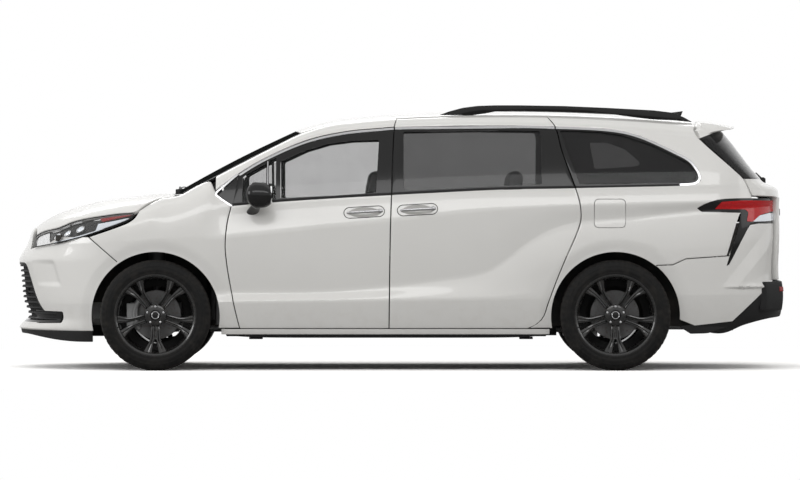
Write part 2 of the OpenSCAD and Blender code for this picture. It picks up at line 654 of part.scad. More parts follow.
module liftgate() {
    color("white") difference() {
        gate_shell();
        along(gate_window, 1700, 2700);
        plate_holes();
    }
    // Spoiler over the window
    tip = function (u, v, d) let (s = lerp(-1, 1, u), x = lerp(2020, 2252 - 60 * s * s, v))
        [x, s * lerp(640, 700, v), lerp(1664, 1625, v) - 20 * s * s - d * lerp(1, 0.2, v)];
    color("white") slab(grid(10, 4, function (u, v) tip(u, v, 0)),
        grid(10, 4, function (u, v) tip(u, v, 30)));
}
gate_window = [[-770, 1290], [770, 1290], [700, 1540], [640, 1570], [-640, 1570], [-700, 1540]];
module liftgate_window() {
    at = function (u, v, d) let (p = gate_point(lerp(-0.97, 0.97, u), lerp(1275, 1580, v))) [p[0] - d, p[1],
        p[2]];
    color([0.05, 0.05, 0.06, 0.6]) intersection() {
        slab(grid(12, 4, function (u, v) at(u, v, 10)),
            grid(12, 4, function (u, v) at(u, v, 10 + glass_t / kx)), true);
        along(gate_window, 1700, 2700);
    }
}

// Holder for the rear number plate
plate_hole_x = 178;
plate_hole_z = 121;
plate_face = 2570;
module plate_holes() {
    for (y = [-1, 1]) for (z = [-1, 1])
        translate([2520 * kx, y * plate_hole_x / 2, body_z(850) + z * plate_hole_z / 2])
            rotate([0, 90, 0]) cylinder(r = 3.5, h = 180);
}
module plate_holder() {
    color("black") difference() {
        block([2520, -165, 770], [plate_face, 165, 930]);
        gate_shell();
        plate_holes();
    }
}

// ---- Mirrors ----

module mirror_at_right() {
    color("black") difference() {
        translate([-920 * kx, 1000 * ky, body_z(1122)]) {
            rotate([0, 0, 12]) translate([-60, -10, -25]) cube([120, 185, 150]);
            translate([-35, -85, -62]) cube([60, 130, 50]);
        }
        front_door_shell();
    }
}

// ---- Underneath ----

module floor_pan() {
    color("dimgray") {
        block([-1240, -690, 290], [1985, 690, 330]);
        block([-1290, -500, 290], [-1235, 500, 330]);
        block([1985, -600, 430], [2430, 600, 470]);
        block([1945, -600, 290], [1985, 600, 470]);
    }
    // Wheel houses over the rear wheels, open outwards
    color("black") right_and_left() difference() {
        across(rear_axle * kx, tyre_r, arch_r + 34, 655 * ky, 850 * ky);
        across(rear_axle * kx, tyre_r, arch_r + 12, 690 * ky, 990 * ky);
        block([800, 600, -400], [2200, 1000, 330]);
    }
    color("black") right_and_left() difference() {
        block([1400, 700, 818], [1470, 955, 838]);
        across(rear_axle * kx, tyre_r, arch_r + 12, 690 * ky, 990 * ky);
        quarter_panel();
    }
    // Frame legs that carry the nose, the bar between the lamps, and crash beams
    color("dimgray") {
        right_and_left() {
            block([-2440, 400, 470], [-1262, 450, 560]);
            block([-1290, 400, 290], [-1262, 450, 500]);
            block([-2300, 400, 550], [-2260, 450, 880]);
            block([2330, 420, 470], [2380, 480, 560]);
        }
        difference() {
            union() {
                block([-2470, -450, 480], [-2430, 450, 560]);
                right_and_left() block([-2600, 300, 500], [-2440, 360, 540]);
            }
            grille_shell();
            block([-2700, -700, 400], [-2525, 700, 700]);
        }
        difference() {
            union() {
                block([-2300, -790, 860], [-2260, 790, 900]);
                block([-2300, -60, 900], [-2260, 60, 1100]);
            }
            right_and_left() headlight_shell(0);
            front_bumper_shell();
            hood_shell();
            block([-2310, -90, 1030], [-2200, 90, 1200]);
            right_and_left() block([-2400, 765, 700], [-2200, 1000, 1000]);
        }
        difference() {
            union() {
                block([2330, -560, 500], [2600, 560, 560]);
                block([2400, -40, 560], [2600, 40, 680]);
            }
            rear_bumper_shell();
            gate_shell();
            block([2520, -700, 400], [2700, 700, 700]);
        }
    }
    // Wheel houses over the front wheels
    color("black") right_and_left() difference() {
        across(front_axle * kx, tyre_r, arch_r + 22, 500 * ky, 850 * ky);
        across(front_axle * kx, tyre_r, arch_r + 6, 512 * ky, 990 * ky);
        block([-2300, 400, -400], [-1000, 1000, 446]);
        block([-1300, 400, 0], [-1000, 1000, 1400]);
    }
    color("black") right_and_left() {
        difference() {
            block([-1660, 600, 808], [-1600, 950, 824]);
            across(front_axle * kx, tyre_r, arch_r + 6, 512 * ky, 990 * ky);
            front_fender();
        }
        block([-1660, 420, 540], [-1600, 505, 560]);
    }
}

module engine() {
    color("gray") block([-2150, -330, 330], [-1500, 330, 860]);
}

knuckle_in = 150; // from the middle of the tyre in to the back of the knuckle
knuckle_foot = tyre_r - 92;
module front_subframe() {
    color("dimgray") {
        block([-1780, -400, 265], [-1480, 400, 329.7]);
        block([-1760, -445, 265], [-1720, 445, 329.7]);
        right_and_left() block([-1760, 405, 300], [-1720, 445, 469.7]);
        right_and_left() hull() {
            translate([front_axle * kx - 110, 380 * ky, knuckle_foot - 30.3]) cylinder(r = 30, h = 30);
            translate([front_axle * kx, half_track - knuckle_in - 10, knuckle_foot - 30.3]) cylinder(r = 26,
                h = 30);
            translate([front_axle * kx + 110, 380 * ky, knuckle_foot - 30.3]) cylinder(r = 30, h = 30);
        }
    }
    // Drive shafts
    color("silver") right_and_left() across(front_axle * kx, tyre_r, 20, 330.3 * ky,
        half_track - knuckle_in - 40);
}

strut_in = 225;
module front_struts() {
    high = tyre_r + sqrt(pow(arch_r + 6, 2) - 24 * 24) - 0.3;
    color("black") right_and_left() translate([front_axle * kx, half_track - strut_in, 0]) {
        translate([0, 0, tyre_r + 140]) cylinder(r = 24, h = high - tyre_r - 140);
        translate([0, 0, tyre_r + 230]) cylinder(r = 58, h = high - tyre_r - 250);
    }
}

stub_gap = 0.05;
function side_from(side, a, b) = side > 0 ? half_track + a : -half_track - b;
// A stub axle, from a to b outwards of the middle of the tyre
module stub(side, axle, a, b) {
    across(axle * kx, tyre_r, stub_r, side_from(side, a, b), side_from(side, a, b) + b - a);
}

module rear_axle_beam() {
    color("dimgray") {
        across(rear_axle * kx, body_z(290) - 30, 29.7, -(half_track - 150), half_track - 150);
        right_and_left() {
            translate([rear_axle * kx - 45, half_track - 160, tyre_r - 133]) cube([90, 40, 193]);
            stub(1, rear_axle, -150, 40);
        }
    }
}

module knuckle(side) {
    place = function (a, b) side_from(side, a, b);
    color("silver") {
        stub(side, front_axle, -knuckle_in, 40);
        translate([front_axle * kx - 45, place(-knuckle_in, -110), knuckle_foot]) cube([90, 40, 212]);
        // Brake caliper and its bracket
        translate([front_axle * kx - disc_r - 25, place(-knuckle_in, -110), tyre_r - 20])
            cube([disc_r + 10, 40, 40]);
        difference() {
            translate([front_axle * kx - disc_r - 30, place(-130, -40), tyre_r - 75]) cube([70, 90, 150]);
            across(front_axle * kx, tyre_r, disc_r + 6, place(-108, -68), place(-108, -68) + 40);
        }
    }
}

module exhaust() {
    color("silver") {
        translate([-1300 * kx, 60, 262]) rotate([0, 90, 0]) cylinder(r = 27, h = 2450 * kx);
        block([1110, -180, 200], [1340, 180, 289.7]);
        translate([1300 * kx, 60, 214]) rotate([0, 90, 0]) cylinder(r = 14, h = 1000 * kx);
        block([1900, 50, 210], [1920, 70, 289.7]);
    }
}

module fuel_tank() {
    color("black") block([250, -560, 225], [1050, -120, 289.7]);
}

// ---- Wheels ----

module tyre(side, axle) {
    w = tyre_w / 2;
    wall = (tyre_r - rim_r) * 0.5;
    translate([axle * kx, side * half_track, tyre_r]) rotate([90, 0, 0])
        color("black") rotate_extrude() polygon([
        [rim_r - 14, -w + 18], [rim_r + 6, -w + 12], [rim_r + wall, -w], [tyre_r - 16, -w + 6],
            [tyre_r - 5, -w + 18],
        [tyre_r, -w + 45], [tyre_r, w - 45], [tyre_r - 5, w - 18], [tyre_r - 16, w - 6], [rim_r + wall, w],
        [rim_r + 6, w - 12], [rim_r - 14, w - 18]]);
}

spoke_pairs = 5;
module wheel(side, axle) {
    w = tyre_w / 2;
    translate([axle * kx, side * half_track, tyre_r]) rotate([90, 0, side > 0 ? 180 : 0])
        color("black") difference() {
        union() {
            rotate_extrude() polygon([[rim_r - 14, -w + 18], [rim_r - 14, w - 18], [rim_r, w - 10],
                [rim_r, w - 6],
                [rim_r - 30, w - 6], [rim_r - 34, w - 60], [rim_r - 42, -w + 30], [rim_r - 30, -w + 18]]);
            translate([0, 0, -60]) cylinder(r = 82, h = 145);
            for (k = [0:spoke_pairs - 1]) for (d =
                [-1, 1]) rotate([0, 0, 90 + k * 360 / spoke_pairs + d * 12])
                translate([62, -15, w - 64]) cube([rim_r - 83, 30, 42]);
            // Brake disc
            translate([0, 0, -100]) cylinder(r = disc_r, h = 24);
            translate([0, 0, -80]) cylinder(r = 70, h = 30);
        }
        translate([0, 0, -110]) cylinder(r = stub_r + stub_gap, h = 110 + 41);
        translate([0, 0, 41]) cylinder(r = 32, h = 100);
    }
}

// ---- Cabin ----

module seat(x, y, width, back_h) {
    profile_low = [[0, 470], [20, 560], [460, 600], [520, 560], [480, 470]];
    color("black") {
        through([for (p = profile_low) [x - p[0], p[1]]], y - width / 2, y + width / 2);
        through([[x - 12, 490], [x - 40, 590], [x + 150, 590 + back_h],
            [x + 150 + seat_back_t, 570 + back_h], [x + 20 + seat_back_t, 490]],
            y - width / 2 + 10, y + width / 2 - 10);
        through([[x + 160, 550 + back_h], [x + 175, 770 + back_h], [x + 255, 770 + back_h],
            [x + 245, 540 + back_h]], y - 130, y + 130);
        block([x - 440, y - width / 2 + 40, 330], [x - 20, y - width / 2 + 90, 480]);
        block([x - 440, y + width / 2 - 90, 330], [x - 20, y + width / 2 - 40, 480]);
    }
}

module dashboard() {
    color("black") through([[-1232, 760], [-1232, 1080], [-1180, 1110], [-960, 1080], [-900, 1000],
        [-960, 760]], -690, 690);
    color("black") block([-970, -105, 330], [-300, 105, 700]);
    color("black") block([-1232, -105, 330], [-960, 105, 770]);
    // Steering column
    color("black") translate(column_end) rotate([0, 90 - column_tilt, 0]) translate([0, 0,
        -170]) cylinder(r = 28, h = 151.7);
}

column_tilt = 25;
column_end = to_body([-775, -375, 985]);
module steering_wheel() {
    color("black") translate(column_end) rotate([0, 90 - column_tilt, 0]) {
        rotate_extrude() translate([steering_r, 0]) circle(r = 15);
        translate([0, 0, -18]) cylinder(r = 62, h = 30);
        for (a = [0, 90, -90]) rotate([0, 0, a]) translate([50, -16, -9]) cube([steering_r - 55, 32, 14]);
    }
}

floor_pan();
right_and_left() rocker();  // rockers
right_and_left() front_pillar();  // front_pillars
right_and_left() middle_pillar();  // middle_pillars
roof();
quarter_panels();
right_and_left() front_fender();  // front_fenders
front_bumper();
grille();
right_and_left() headlight();  // headlights
cowl();
dashboard();
windshield();
right_and_left() quarter_window();  // quarter_windows
mirror([0, 1, 0]) sliding_door();  // sliding_door_left
sliding_door();  // sliding_door_right
right_and_left() sliding_window();  // sliding_door_windows
rear_bumper();
right_and_left() tail_light();  // tail_lights
roof_rails();
engine();
front_subframe();
front_struts();
rear_axle_beam();  // rear_axle
exhaust();
fuel_tank();
right_and_left() seat(-380, 375, seat_w, 560);  // front_seats
right_and_left() seat(560, 375, seat_w, 560);  // second_row_seats
seat(1640, 0, 1180, 470);  // third_row_seat
hood();
mirror([0, 1, 0]) front_door();  // front_door_left
front_door();  // front_door_right
mirror([0, 1, 0]) front_window();  // front_window_left
front_window();  // front_window_right
mirror([0, 1, 0]) mirror_at_right();  // mirror_left
mirror_at_right();  // mirror_right
liftgate();
liftgate_window();
plate_holder();
fuel_door();
steering_wheel();
knuckle(-1);  // knuckle_left
knuckle(1);  // knuckle_right
wheel(-1, front_axle);  // wheel_front_left
wheel(1, front_axle);  // wheel_front_right
wheel(-1, rear_axle);  // wheel_rear_left
wheel(1, rear_axle);  // wheel_rear_right
tyre(-1, front_axle);  // tyre_front_left
tyre(1, front_axle);  // tyre_front_right
tyre(-1, rear_axle);  // tyre_rear_left
tyre(1, rear_axle);  // tyre_rear_right
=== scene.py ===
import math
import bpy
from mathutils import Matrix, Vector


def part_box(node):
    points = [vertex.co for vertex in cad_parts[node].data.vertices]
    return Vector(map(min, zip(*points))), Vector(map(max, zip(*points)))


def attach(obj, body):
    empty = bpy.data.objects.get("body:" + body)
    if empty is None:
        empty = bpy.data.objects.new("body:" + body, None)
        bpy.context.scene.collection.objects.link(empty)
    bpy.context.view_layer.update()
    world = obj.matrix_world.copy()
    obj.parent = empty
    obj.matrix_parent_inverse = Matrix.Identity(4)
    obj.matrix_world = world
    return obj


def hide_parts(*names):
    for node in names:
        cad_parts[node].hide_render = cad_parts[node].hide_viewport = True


bl_info = {
    "name": "Family Van Looks",
    "version": (1, 0, 0),
    "blender": (4, 5, 0),
    "location": "View3D > Sidebar > Van",
    "description": "Detailed body, glass, lamps, wheels and cabin over the packed frame of a family van",
    "category": "Object",
}

import bmesh
import bpy
from mathutils import Matrix, Vector

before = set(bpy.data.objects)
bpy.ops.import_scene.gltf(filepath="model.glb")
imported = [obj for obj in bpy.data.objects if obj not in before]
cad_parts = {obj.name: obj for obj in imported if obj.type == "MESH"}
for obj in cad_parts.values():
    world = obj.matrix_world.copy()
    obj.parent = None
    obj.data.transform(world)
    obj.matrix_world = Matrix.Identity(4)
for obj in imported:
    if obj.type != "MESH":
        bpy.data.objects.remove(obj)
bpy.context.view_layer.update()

MM = 0.001


# ---- Curves and numbers, in millimetres on the van's own axes ----

def lerp(a, b, t):
    return a + (b - a) * t


def unit(t):
    return max(0.0, min(1.0, t))


def ease(a, b, x):
    t = unit((x - a) / (b - a))
    return t * t * (3 - 2 * t)


def hermite(x, a, ya, ma, b, yb, mb):
    h = b - a
    t = (x - a) / h
    t2, t3 = t * t, t * t * t
    return ((2 * t3 - 3 * t2 + 1) * ya + (t3 - 2 * t2 + t) * h * ma
            + (3 * t2 - 2 * t3) * yb + (t3 - t2) * h * mb)


def slope_at(p, i):
    i, k = max(0, i - 1), min(len(p) - 1, i + 1)
    return (p[k][1] - p[i][1]) / (p[k][0] - p[i][0])


def piece_at(p, x):
    i = 0
    while i < len(p) - 2 and x >= p[i + 1][0]:
        i += 1
    return i


def curve(p, x):
    """A smooth curve through points (x, value), straight past its ends."""
    if x <= p[0][0]:
        return p[0][1] + (x - p[0][0]) * slope_at(p, 0)
    if x >= p[-1][0]:
        return p[-1][1] + (x - p[-1][0]) * slope_at(p, len(p) - 1)
    i = piece_at(p, x)
    return hermite(x, p[i][0], p[i][1], slope_at(p, i), p[i + 1][0], p[i + 1][1], slope_at(p, i + 1))


def pieced(p, x):
    i = piece_at(p, x)
    return lerp(p[i][1], p[i + 1][1], unit((x - p[i][0]) / (p[i + 1][0] - p[i][0])))


def corner(t, n):
    return max(0.0, 1 - unit(t) ** n) ** (1 / n)


# ---- Lines of the body ----

FRONT_AXLE, REAR_AXLE = -1627, 1433
TYRE_R, TYRE_W = 368, 235
ARCH_R, ARCH_Z = 430, 361
HALF_W = 988
FRONT_TURN, REAR_TURN = -1850, 1950
SKIN_GAP = 3
NOSE_ROUND, TAIL_ROUND = 2.3, 3.2   # how full the body's corners are, seen from above
MEET_Z, LAMP_Z = 717, 888   # where the bumper's edge leaves the wheel arch, and where it meets the lamp
PLATE_IN, PLATE_OUT = 350, 1100   # a cutting tool for one side reaches from here to here across the van
ARCH_BAND, ARCH_SINK = 72, 17

hood_line = [(-2475, 950), (-2380, 1010), (-2290, 1052), (-2115, 1106), (-1940, 1140), (-1680, 1168),
             (-1500, 1178)]
roof_line = [(-700, 1606), (-480, 1668), (-290, 1692), (0, 1716), (545, 1733), (1000, 1731), (1500, 1711),
             (1985, 1676), (2100, 1660)]
nose_line = [(250, -2545), (272, -2586), (345, -2530), (460, -2562), (590, -2576), (714, -2587),
             (750, -2580), (830, -2532), (916, -2502), (950, -2480)]
tail_line = [(300, 2545), (374, 2580), (544, 2586), (585, 2556), (712, 2548), (916, 2560), (1100, 2556),
             (1220, 2548)]
belt_line = [(-1240, 1080), (-1122, 1094), (-827, 1120), (-454, 1145), (0, 1170), (593, 1200), (1152, 1212),
             (1931, 1229), (2300, 1235)]
shoulder_line = [(-2100, 850), (-1627, 868), (-1142, 896), (-620, 951), (-66, 1007), (425, 1064),
                 (890, 1091), (1186, 1102), (1980, 1122), (2300, 1130)]
hollow_line = [(-1500, 520), (-1100, 520), (-530, 524), (-200, 548), (200, 592), (531, 640), (677, 712),
               (847, 848), (1016, 940), (1186, 985), (1524, 1015), (1980, 1062), (2300, 1080)]
drip_line = [(-1240, 1184), (-1082, 1303), (-896, 1414), (-624, 1531), (-372, 1589), (-115, 1614),
             (0, 1622), (762, 1631), (1033, 1625), (1491, 1600), (1985, 1556), (2100, 1543)]
rail_top = [(-1470, 1169), (-1268, 1270), (-1062, 1378), (-800, 1512), (-657, 1580), (-480, 1634),
            (-290, 1659), (0, 1683), (545, 1700), (1000, 1698), (1500, 1678), (1985, 1643), (2100, 1628)]
rail_y = [(-1470, 800), (-1268, 780), (-1062, 742), (-800, 690), (-657, 655), (-400, 628), (0, 615),
          (1000, 612), (1985, 600), (2100, 596)]
fender_top = [(-1741, 1060), (-1607, 1143), (-1520, 1158), (-1470, 1169), (-1268, 1262), (-1228, 1190),
              (-1122, 1094)]
fender_top_y = [(-1700, 860), (-1607, 790), (-1470, 800), (-1268, 782), (-1228, 850), (-1122, 930)]
front_edge_line = [(269, -1064), (408, -1098), (578, -1131), (712, -1152), (831, -1162), (983, -1149),
                   (1094, -1123), (1308, -1078)]
middle_edge_line = [(269, -73), (916, -64), (1162, -56), (1620, -38), (1700, -15)]
slide_edge_line = [(269, 800), (290, 880), (349, 949), (441, 983), (578, 1033), (746, 1101), (899, 1169),
                   (1001, 1202), (1120, 1194), (1240, 1157), (1464, 1078), (1622, 1036), (1700, 975)]
quarter_rear = [(700, 2150), (762, 2172), (1042, 2262), (1056, 2285), (1150, 2345), (1164, 2341),
                (1275, 2286), (1311, 2250), (1540, 1996), (1601, 1960), (1640, 1972)]
hood_edge = [(-2475, 345), (-2450, 405), (-2300, 655), (-2173, 752), (-2007, 845), (-1850, 893),
             (-1760, 912), (-1720, 880), (-1607, 783), (-1496, 762)]
bumper_top = [(0, 944), (400, 944), (490, 802), (760, 838), (885, 886), (1200, 886)]
head_low = [(-2470, 492, 812), (-2287, 762, 847), (-2085, 885, 897), (-1833, 942, 987), (-1765, 932, 1032)]
head_top_x = [(0, -2446), (0.2, -2350), (0.45, -2190), (0.7, -2000), (1, -1775)]
tail_top = [(1650, 694), (1812, 700), (1899, 740), (2174, 759), (2190, 759), (2334, 968), (2420, 982),
            (2480, 986)]
lamp_high = [(1975, 1078), (2032, 1110), (2131, 1138), (2377, 1145), (2560, 1140)]
gate_mid = [(600, 2552), (712, 2548), (916, 2560), (1100, 2556), (1170, 2560), (1212, 2548), (1262, 2452),
            (1585, 2196), (1625, 2130), (1662, 2000)]
gate_y = [(600, 616), (1152, 616), (1160, 836), (1275, 836), (1540, 798), (1600, 738), (1640, 630),
          (1662, 570)]
gate_x = [(600, 2524), (1152, 2524), (1160, 2352), (1275, 2300), (1540, 2012), (1601, 1984), (1640, 1988),
          (1662, 2000)]
grille_outline = [(-420, 712), (420, 712), (590, 388), (748, 388), (718, 312), (-718, 312), (-748, 388),
                  (-590, 388)]
GATE_HALF = 622

# Outer edge of the bright strip round the side windows
window_band = [(-1122, 1096), (-1013, 1104), (-827, 1120), (-454, 1146), (0, 1171), (593, 1201),
               (1152, 1213), (1700, 1224), (1931, 1230), (1975, 1241), (2000, 1264), (2005, 1290),
               (1985, 1336), (1931, 1402), (1820, 1463), (1693, 1524), (1600, 1562), (1494, 1592),
               (1355, 1611), (1033, 1625), (762, 1631), (398, 1631), (0, 1622), (-117, 1614),
               (-372, 1589), (-624, 1531), (-896, 1414), (-1082, 1303), (-1212, 1217), (-1240, 1183),
               (-1236, 1172)]


def crease_z(x):
    return 458 + 0.0145 * (x + 1096)


def half_plan(x):
    return HALF_W - 40 * (max(0, (-1500 - x) / 500)) ** 2 - 30 * (max(0, (x - 1300) / 800)) ** 2


def plan_y(x, z):
    nose, tail = curve(nose_line, min(z, 950)), curve(tail_line, min(z, 1220))
    return (half_plan(x) * corner((FRONT_TURN - x) / (FRONT_TURN - nose), NOSE_ROUND)
            * corner((x - REAR_TURN) / (tail - REAR_TURN), TAIL_ROUND))


def arch_dent(x, z):
    """How far the side sinks towards the edge of the nearer wheel arch."""
    r = math.hypot(x - (FRONT_AXLE if x < 0 else REAR_AXLE), z - ARCH_Z) - ARCH_R
    return ARCH_SINK * unit((ARCH_BAND - r) / (ARCH_BAND - 6))


def side_in(x, z):
    belt, shoulder, hollow = curve(belt_line, x), curve(shoulder_line, x), curve(hollow_line, x)
    crease, front, haunch = crease_z(x), ease(-1450, -1120, x), ease(450, 1150, x)
    depth, full = 8 + 36 * front * (1 - haunch) + 16 * haunch, unit(1 - front + haunch)
    dent = arch_dent(x, z)
    if z < crease:
        return 12 + 0.2 * (crease - z) + 0.0003 * (crease - z) ** 2 + dent
    if z < hollow:
        return dent + hermite(z, crease, 12, lerp(0.2, -0.06, full), hollow, depth,
                              0.30 * haunch + 0.12 * (1 - haunch) * front)
    if z < shoulder:
        return dent + hermite(z, hollow, depth, -0.17 * front * (1 - haunch) - 0.12 * haunch,
                              shoulder, 0, -0.03)
    belt_in = 4 + 0.33 * max(0, belt - 45 - shoulder)
    return hermite(min(z, belt), shoulder, 0, 0.3, belt, belt_in, 0.12)


def side_y(x, z):
    return plan_y(x, z) * (1 - side_in(x, z) / HALF_W)


def frame_y(x, z):
    belt = curve(belt_line, x)
    h = max(0, z - belt)
    return side_y(x, min(z, belt)) - 0.28 * h - 0.00034 * h * h


def rail_y_at(x, z):
    low, high, inner = curve(drip_line, x), curve(rail_top, x), curve(rail_y, x)
    return inner + (frame_y(x, low) - inner) * math.sqrt(max(0, 1 - unit((z - low) / (high - low)) ** 2))


def body_y(x, z):
    return rail_y_at(x, z) if z > curve(drip_line, x) else frame_y(x, z)


def roundness(x):
    return curve([(-2300, 2.6), (-1800, 3.4), (-1500, 5)], max(-2400, min(-1500, x)))


def hood_z(x, y):
    low = curve(shoulder_line, x)
    return low + (curve(hood_line, x) - low) * corner(abs(y) / plan_y(x, 880), roundness(x))


def fender_y(x, z):
    low = curve(shoulder_line, x)
    if z < low:
        return side_y(x, z)
    w, inner = plan_y(x, z), curve(fender_top_y, x)
    by_hood = w * corner((z - low) / (curve(hood_line, x) - low), roundness(x))
    by_cowl = inner + (w - inner) * corner((z - low) / (curve(fender_top, x) - low), 2.2)
    own = lerp(by_hood, by_cowl, ease(-1700, -1560, x))
    return lerp(own, frame_y(x, z), ease(-1350, -1122, x))


def roof_z(x, y):
    return curve(roof_line, x) - 33 * (abs(y) / curve(rail_y, x)) ** 2


def turn_in(turn, n):
    return math.sin(math.pi / 2 * turn) ** (2 / n)


def arch_reach(z):
    return math.sqrt(max(0, ARCH_R ** 2 - (z - ARCH_Z) ** 2))


def nose_point(turn, z, edge):
    x = lerp(edge, curve(nose_line, z), turn_in(turn, NOSE_ROUND))
    return Vector((x, 0 if turn >= 1 else side_y(x, z), z))


def tail_point(turn, z, edge):
    x = lerp(edge, curve(tail_line, z), turn_in(turn, TAIL_ROUND))
    return Vector((x, 0 if turn >= 1 else side_y(x, z), z))


def front_edge_x(z):
    if z < MEET_Z:
        return FRONT_AXLE - arch_reach(z)
    return lerp(-1880, -2079, unit((z - MEET_Z) / (LAMP_Z - MEET_Z)))


def rear_edge_x(z):
    return REAR_AXLE + arch_reach(z) if z < 700 else REAR_AXLE + arch_reach(700) + 8


def gate_point(s, z):
    y, side, mid = pieced(gate_y, z), pieced(gate_x, z), curve(gate_mid, z)
    return Vector((lerp(side, mid, corner(abs(s), lerp(2.2, 3, ease(1300, 1100, z)))), s * y, z))


def lamp_side(m):
    high = [(x - (m if x < 2000 else 0), curve(lamp_high, x) + m) for x in range(1975, 2561, 45)]
    return high + [(2620, 1140 + m), (2620, 978 - m), (2334, 978 - m), (2188 + m, 706 - m),
                   (2172 - m, 697 - m), (2244 - m, 920), (2272 - m, 1050 - m), (2005, 1056 - m)]


# ---- Mesh making ----

def soft_edges(bm, edges, offset, segments):
    bmesh.ops.bevel(bm, geom=edges, offset=offset * MM, offset_type="OFFSET", segments=segments, profile=0.5,
                    affect="EDGES", clamp_overlap=True, material=-1)
    return bm


def sharp_edges(bm):
    return [e for e in bm.edges if e.is_manifold and e.calc_face_angle(0) > 0.9]


def closed_up(bm):
    """Fill the open ends of a mesh and turn its faces outwards."""
    bmesh.ops.holes_fill(bm, edges=[e for e in bm.edges if e.is_boundary], sides=0)
    bmesh.ops.recalc_face_normals(bm, faces=bm.faces[:])
    return bm


def face_out(bm):
    """Turn every face of a closed mesh outwards."""
    bmesh.ops.recalc_face_normals(bm, faces=bm.faces[:])
    if bm.calc_volume(signed=True) < 0:
        bmesh.ops.reverse_faces(bm, faces=bm.faces[:])


def slab(columns, rows, outer, inner, rounding=2.5, steps=2):
    """A closed slab between two surfaces of (u, v), in millimetres, with its outer rim rounded."""
    bm = bmesh.new()
    bmesh.ops.create_grid(bm, x_segments=columns, y_segments=rows, size=0.5)
    place = bm.verts.layers.float_vector.new("place")
    for v in bm.verts:
        v[place] = (v.co.x + 0.5, v.co.y + 0.5, 0)
    made = bmesh.ops.extrude_face_region(bm, geom=bm.faces[:])
    back = {v for v in made["geom"] if isinstance(v, bmesh.types.BMVert)}
    for v in bm.verts:
        u, w, _ = v[place]
        v.co = Vector((inner if v in back else outer)(u, w)) * MM
    bm.verts.layers.float_vector.remove(place)
    face_out(bm)
    if rounding:
        back = {v.index for v in back if v.is_valid}
        bm.verts.index_update()
        rim = [e for e in sharp_edges(bm) if e.verts[0].index not in back and e.verts[1].index not in back]
        soft_edges(bm, rim, rounding, steps)
    return bm


def shell(columns, rows, at, top, foot, rounding=2.5, steps=2, span=(0, 1, 0, 1)):
    """A slab between two depths of a surface at(u, v, depth), over a span of u and of v."""
    u0, u1, v0, v1 = span

    def layer(depth):
        return lambda u, v: at(lerp(u0, u1, u), lerp(v0, v1, v), depth)
    return slab(columns, rows, layer(top), layer(foot), rounding, steps)


def sheet(columns, rows, at):
    """An open sheet over a surface of (u, v), in millimetres."""
    bm = bmesh.new()
    bmesh.ops.create_grid(bm, x_segments=columns, y_segments=rows, size=0.5)
    for v in bm.verts:
        v.co = Vector(at(v.co.x + 0.5, v.co.y + 0.5)) * MM
    return bm


def prism(outline, low, high, across="y"):
    """An outline pushed along an axis; its points are (x, z) along y, (y, z) along x or (x, y) along z."""
    bm = bmesh.new()
    put = {"y": lambda p, d: (p[0], d, p[1]), "x": lambda p, d: (d, p[0], p[1]),
           "z": lambda p, d: (p[0], p[1], d)}[across]
    face = bm.faces.new([bm.verts.new(Vector(put(p, low)) * MM) for p in outline])
    made = bmesh.ops.extrude_face_region(bm, geom=[face])
    push = Vector(put((0, 0), high)) * MM - Vector(put((0, 0), low)) * MM
    bmesh.ops.translate(bm, vec=push, verts=[v for v in made["geom"] if isinstance(v, bmesh.types.BMVert)])
    bmesh.ops.recalc_face_normals(bm, faces=bm.faces[:])
    return bm


def block(low, high, rounding=4, steps=3):
    """A box between two corners with rounded edges."""
    bm = bmesh.new()
    bmesh.ops.create_cube(bm, size=1)
    low, high = Vector(low), Vector(high)
    for v in bm.verts:
        v.co = Vector([lerp(low[a], high[a], v.co[a] + 0.5) for a in range(3)]) * MM
    return soft_edges(bm, bm.edges[:], rounding, steps)


def rounded(outline, radius, steps=5):
    """An outline with its corners turned into arcs."""
    out = []
    radii = radius if isinstance(radius, (list, tuple)) else [radius] * len(outline)
    for i, here in enumerate(outline):
        p = Vector(here)
        a, b = Vector(outline[i - 1]) - p, Vector(outline[(i + 1) % len(outline)]) - p
        reach = min(radii[i], a.length * 0.45, b.length * 0.45)
        if reach < 0.5:
            out.append(p)
            continue
        p0, p1 = p + a.normalized() * reach, p + b.normalized() * reach
        for k in range(steps + 1):
            t = k / steps
            out.append(p0 * (1 - t) ** 2 + p * 2 * t * (1 - t) + p1 * t * t)
    return [tuple(p) for p in out]


def carved(bm, *tools, operation="DIFFERENCE"):
    """The mesh after each tool mesh is cut from it; the meshes given are used up."""
    def loose(source, name):
        mesh = bpy.data.meshes.new(name)
        source.to_mesh(mesh)
        source.free()
        thing = bpy.data.objects.new(name, mesh)
        bpy.context.scene.collection.objects.link(thing)
        return thing
    body = loose(bm, "carve_body")
    cutters = [loose(t, "carve_tool") for t in tools]
    for cutter in cutters:
        modifier = body.modifiers.new("cut", "BOOLEAN")
        modifier.operation, modifier.solver, modifier.object = operation, "EXACT", cutter
    out = bmesh.new()
    out.from_object(body, bpy.context.evaluated_depsgraph_get())
    for thing in [body] + cutters:
        mesh = thing.data
        bpy.data.objects.remove(thing)
        bpy.data.meshes.remove(mesh)
    return out


def kept_in(bm, tool):
    """The part of a mesh inside a tool mesh."""
    return carved(bm, tool, operation="INTERSECT")


def through(outline, radius=0, steps=5):
    """A cutting tool for the +Y side, from an outline of (x, z) whose corners may be rounded."""
    return prism(rounded(outline, radius, steps) if radius else outline, PLATE_IN, PLATE_OUT)


AXES = {"x": Vector((1, 0, 0)), "y": Vector((0, 1, 0)), "z": Vector((0, 0, 1))}


